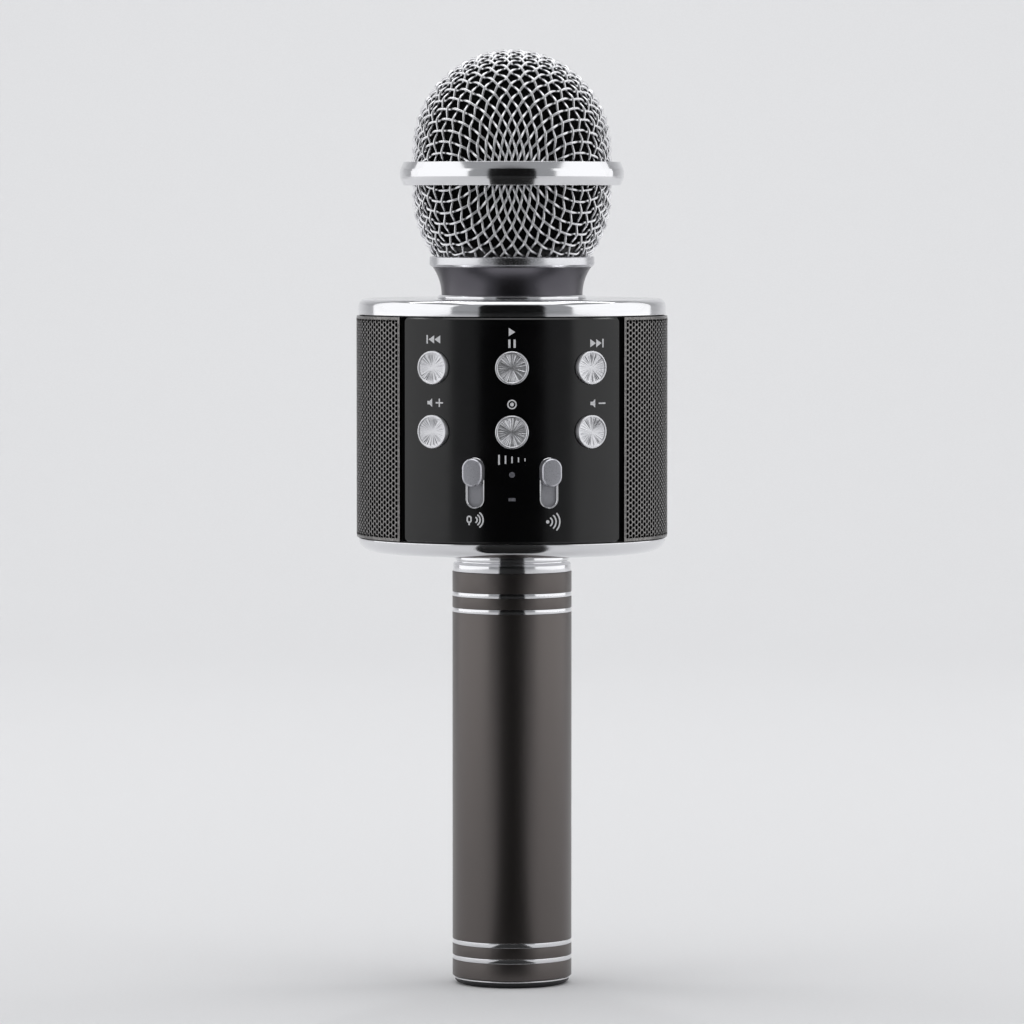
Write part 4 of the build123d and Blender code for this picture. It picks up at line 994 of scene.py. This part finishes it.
bezel_low, bezel_high = (size_of("slider_bezels")[k][2] for k in (0, 1))
bezel_long, bezel_wide, bezel_wall = bezel_high - bezel_low, 4.9, 0.45
thumb_long, thumb_wide, thumb_top = 7.3, 5.3, 3.65
thumb_z = bezel_high - bezel_wall - 0.3 - 3.0  # the middle of the knob, with a gap above its shutter's end
shutter_back, shutter_face = -1.2, -0.6
knob_levels = [(0.0, 0.45), (0.0, 3.15), (0.08, 3.34), (0.55, 3.6), (0.7, thumb_top), (0.8, 3.6)]
bezel_levels = [(0.0, -0.45), (0.0, 0.25), (0.2, 0.35), (0.7, 0.35), (0.9, 0.25), (0.9, -0.45)]
bezels = []
for side, word in ((-1, "microphone"), (1, "echo")):
    low, high = size_of(f"{word}_slider")
    angle = 13.5 * side
    knob = [(thumb_long - less, thumb_wide - less, z) for less, z in knob_levels] + [(5.0, 3.2, 3.62)]
    neck_bar = lofted([(6.0, 3.2, shutter_face), (6.0, 3.2, 0.45)])
    shutter_mid = (low[2] + high[2]) / 2 - thumb_z
    shutter = slab_points(5.6, high[2] - low[2], shutter_back, shutter_face, shutter_mid)
    verts, faces = stacked(lofted(knob), neck_bar, shutter, slab_points(1.4, 3.0, -8.7, shutter_back))
    verts = set_on_drum(verts, panel_r, angle, thumb_z)
    slider = made_object(f"slider_{word}_plated", verts, faces, silver_plastic)
    shaded(slider.data, 25)
    slider.data.materials.append(silver_tray)
    out = np.array([math.sin(math.radians(angle)), -math.cos(math.radians(angle)), 0.0])
    for face in slider.data.polygons:
        depth_here = float(np.array(face.center) @ out) / MM - panel_r
        face.material_index = int(shutter_back - 0.1 < depth_here < shutter_face + 0.1)
    place(slider, f"{word}_slider", "slider_silver", f"{word}_slider")
    ring = [(bezel_long - less, bezel_wide - less, z) for less, z in bezel_levels]
    verts, faces = lofted(ring, closed=False)
    verts = set_on_drum(verts, panel_r, angle, (bezel_low + bezel_high) / 2)
    bezels.append(made_object("bezel", verts, faces, chrome))
bezel_pair = merged("slider_bezels_chromed", bezels)
shaded(bezel_pair.data, 25)
place(bezel_pair, "microphone_body", "trim_chrome", "slider_bezels")
print("sliders at", round(thumb_z, 2))

# %% [markdown]
# White marks are printed beside the controls. They are plain pictures in place of words: arrows, a plus and a
# minus, a ring for recording, bars that fade for the echo. Each is a few strokes, drawn flat in millimetres and
# laid on the panel a hair proud of it, as real ink is.


# %% Printed marks
def stroke(points, width=0.34):
    """A line of a width through points, as a quad for each piece."""
    quads = []
    for start, end in zip(points, points[1:]):
        start, end = np.array(start, float), np.array(end, float)
        along = (end - start) / np.linalg.norm(end - start) * width / 2
        across = np.array([-along[1], along[0]])
        start, end = start - along, end + along
        quads.append([start + across, start - across, end - across, end + across])
    return quads


def bow_of(x, y, radius, start, end, width=0.34, steps=12):
    """An arc as a stroke."""
    sweep = [math.radians(start + (end - start) * k / steps) for k in range(steps + 1)]
    return stroke([(x + radius * math.cos(a), y + radius * math.sin(a)) for a in sweep], width)


def disc(x, y, radius):
    return [[(x + radius * math.cos(a), y + radius * math.sin(a)) for a in np.arange(20) * math.pi / 10]]


def speaker_mark(x):
    """A small loudspeaker."""
    return [[(x - 1.3, -0.4), (x - 0.7, -0.4), (x, -1.0), (x, 1.0), (x - 0.7, 0.4), (x - 1.3, 0.4)]]


def arrow(x, way):
    return [[(x - 0.75 * way, -0.95), (x + 0.75 * way, 0), (x - 0.75 * way, 0.95)]]


def upright(x, tall, width=0.34):
    """A short upright stroke."""
    return stroke([(x, -tall), (x, tall)], width)


def waves(x, start, step, angle=50):
    """Three arcs that spread to the right."""
    return [quad for k in range(3) for quad in bow_of(x, 0, start + step * k, -angle, angle)]


bars = [quad for k in range(5) for quad in upright(-3.0 + 1.5 * k, 0.95 - 0.18 * k, 0.4 - 0.04 * k)]
minus = stroke([(0.7, 0), (2.3, 0)])
capsule_sides = stroke([(-1.85, -0.1), (-1.85, 0.35)]) + stroke([(-0.95, -0.1), (-0.95, 0.35)])
capsule_mark = bow_of(-1.4, 0.35, 0.45, 0, 180) + bow_of(-1.4, -0.1, 0.45, 180, 360) + capsule_sides
echo_arcs = bow_of(-1.9, 0, 1.1, -50, 50) + bow_of(-1.9, 0, 2.0, -45, 45) + bow_of(-1.9, 0, 2.9, -40, 40)
marks = [  # angle from the front, height above the drum's underside, strokes
    (-29.7, 56.8, arrow(-0.6, -1) + arrow(1.0, -1) + upright(-1.75, 0.8, 0.4)),
    (32.4, 55.8, arrow(-1.0, 1) + arrow(0.6, 1) + upright(1.75, 0.8, 0.4)),
    (0, 58.8, arrow(0, 1)),
    (0, 55.8, upright(-0.6, 0.7, 0.5) + upright(0.6, 0.7, 0.5)),
    (-29.7, 40.4, speaker_mark(-0.4) + minus + upright(1.5, 0.8)),
    (32.4, 40.2, speaker_mark(-0.4) + minus),
    (0, 40.1, bow_of(0, 0, 0.95, 0, 360, 0.28, 24) + disc(0, 0, 0.45)),
    (0, 25.8, bars),
    (-13.5, 10.2, capsule_mark + stroke([(-1.4, -0.6), (-1.4, -1.05)]) + waves(-0.2, 0.7, 0.7)),
    (16.0, 9.7, disc(-1.9, 0, 0.4) + echo_arcs),
]
mark_scale, ink = 1.12, 0.02
verts, faces = [], []
for angle, height, shapes in marks:
    for level, shape in enumerate(shapes):
        ink_r = panel_r + ink + 0.002 * (level % 7)  # strokes that cross lie on each other, not in each other
        start = len(verts)
        for x, y in shape:
            a = math.radians(angle) + mark_scale * x / panel_r
            verts.append((ink_r * math.sin(a), -ink_r * math.cos(a), drum_low + height + mark_scale * y))
        faces.append(tuple(range(start, len(verts))))
printed = made_object("panel_marks_printed", verts, faces, white_ink, smooth=False)
work = bmesh.new()
work.from_mesh(printed.data)
for face in work.faces:
    if face.normal.dot(face.calc_center_median()) < 0:
        face.normal_flip()
work.to_mesh(printed.data)
work.free()
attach(printed, "microphone_body")
print(len(marks), "marks")

# %% [markdown]
# Everything else keeps its CAD shape: the parts inside, the sockets and the screws. Each still gets the finish
# of what it is made of, and edges sharper than a fillet stay sharp.

# %% Finishes for the pieces that stay as CAD
finishes = {
    plain_steel: "battery_spring case_screws speaker_screws collar_nut neck_nut battery_contact usb_port "
    "card_socket left_speaker_frame right_speaker_frame capsule",
    matt_black: "chassis battery_sleeve bulkhead audio_jack tact_switches slide_pots",
    solder_mask: "main_board key_boards port_board",
    smoked_window: "indicator_lens status_window",
    ferrite: "left_speaker_magnet right_speaker_magnet",
    paper_cone: "left_speaker_cone right_speaker_cone",
    rubber_black: "left_speaker_surround right_speaker_surround capsule_mount",
    red_wire: "battery_leads capsule_leads",
    cell_sleeve: "battery_cell",
    cloth_black: "grille_cloths",
}
for coat, names in finishes.items():
    for name in names.split():
        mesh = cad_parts[name].data
        mesh.materials.clear()
        mesh.materials.append(coat)
print(sum(len(names.split()) for names in finishes.values()), "CAD pieces finished")

# %% [markdown]
# A pale sweep of paper makes the floor and the wall. Two tall soft boxes stand at the sides, a dim one hangs
# above, and a dark card behind the camera keeps the middle of the gloss black. Chrome and gloss show what is
# round them, so the lights are placed for their reflections: bright at both sides, dark in front.

# %% Studio
paper = finish("paper_sweep_pale", ("DBDBDC", "DDDDDE"), 0.85, 0.0, (1.0, 0.01, 0.1))
near, bend, far, tall, half = -4.0, 1.2, 2.0, 4.0, 4000
curve_r = far - bend
sweep = np.linspace(0.1, math.pi / 2, 12)
line = [(near, 0.0), (bend, 0.0)]
line += [(bend + curve_r * math.sin(t), curve_r - curve_r * math.cos(t)) for t in sweep]
line += [(far, tall)]
verts = [(x, y / MM, z / MM) for y, z in line for x in (-half, half)]
faces = [(2 * k, 2 * k + 1, 2 * k + 3, 2 * k + 2) for k in range(len(line) - 1)]
sweep_paper = made_object("floor_sweep", verts, faces, paper)


def soft_box(name, place_at, aim, wide, tall, power):
    """An area lamp that isn't seen itself."""
    data = bpy.data.lights.new(name, "AREA")
    data.shape, data.size, data.size_y, data.energy = "RECTANGLE", wide, tall, power
    lamp = bpy.data.objects.new(name, data)
    bpy.context.scene.collection.objects.link(lamp)
    lamp.location = place_at
    way = np.array(aim, float) - np.array(place_at, float)
    tilt = math.atan2(math.hypot(way[0], way[1]), -way[2])
    lamp.rotation_euler = (tilt, 0, math.atan2(way[1], way[0]) - math.pi / 2)
    lamp.visible_camera = False
    return lamp


lamps = [
    soft_box("soft_box_left", (-1.2, -0.15, 0.45), (0, -0.15, 0.35), 2.1, 1.7, 10),
    soft_box("soft_box_right", (1.2, -0.15, 0.45), (0, -0.15, 0.35), 2.1, 1.7, 10),
    soft_box("soft_box_above", (0, -0.2, 1.6), (0, 0, 0.15), 1.4, 1.2, 8),
    soft_box("wall_wash", (0, 0.7, 1.9), (0, 2.0, 0.5), 3.0, 0.5, 22),
]
card = finish("card_black_flock", "050505", 1.0, 0.0, (2.0, 0.1, 0.3))
tip, tip_y, back, back_y, card_tall = 25, -30, 1050, -2300, 2500
floor_part = [(-tip, tip_y, 1), (tip, tip_y, 1), (back, back_y, 1), (-back, back_y, 1)]
upright_part = [(back, back_y, card_tall), (-back, back_y, card_tall)]
card_faces = [(0, 1, 2, 3), (3, 2, 4, 5)]
dark_card = made_object("dark_card", floor_part + upright_part, card_faces, card, smooth=False)
dark_card.visible_camera = dark_card.visible_shadow = dark_card.visible_diffuse = False
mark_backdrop(sweep_paper, dark_card, *lamps)

world = bpy.data.worlds.new("studio_air")
bpy.context.scene.world = world
world.use_nodes = True
sky = world.node_tree.nodes["Background"].inputs
sky["Color"].default_value, sky["Strength"].default_value = linear("D8DADD"), 0.5

# %% [markdown]
# The camera looks from a long way off through a long lens, a little below the head's height, so the drum and
# the handle keep nearly parallel sides, and the rings curve more the lower they are.

# %% Camera
eye = (0.0, -1.66, 0.2065)
aim = (0.0, 0.0, 0.1251)
tilt = math.pi / 2 + math.atan2(aim[2] - eye[2], aim[1] - eye[1])
lens = bpy.data.cameras.new("camera")
lens.lens, lens.sensor_width = 220.5, 36.0
camera = bpy.data.objects.new("camera", lens)
bpy.context.scene.collection.objects.link(camera)
camera.location = eye
camera.rotation_euler = (tilt, 0, 0)
bpy.context.scene.camera = camera
bpy.context.scene.view_settings.view_transform = "Standard"

# %% Sizes of what is drawn
low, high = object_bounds()
print("visual box, mm:", [round(v / MM, 1) for v in (*low, *high)])
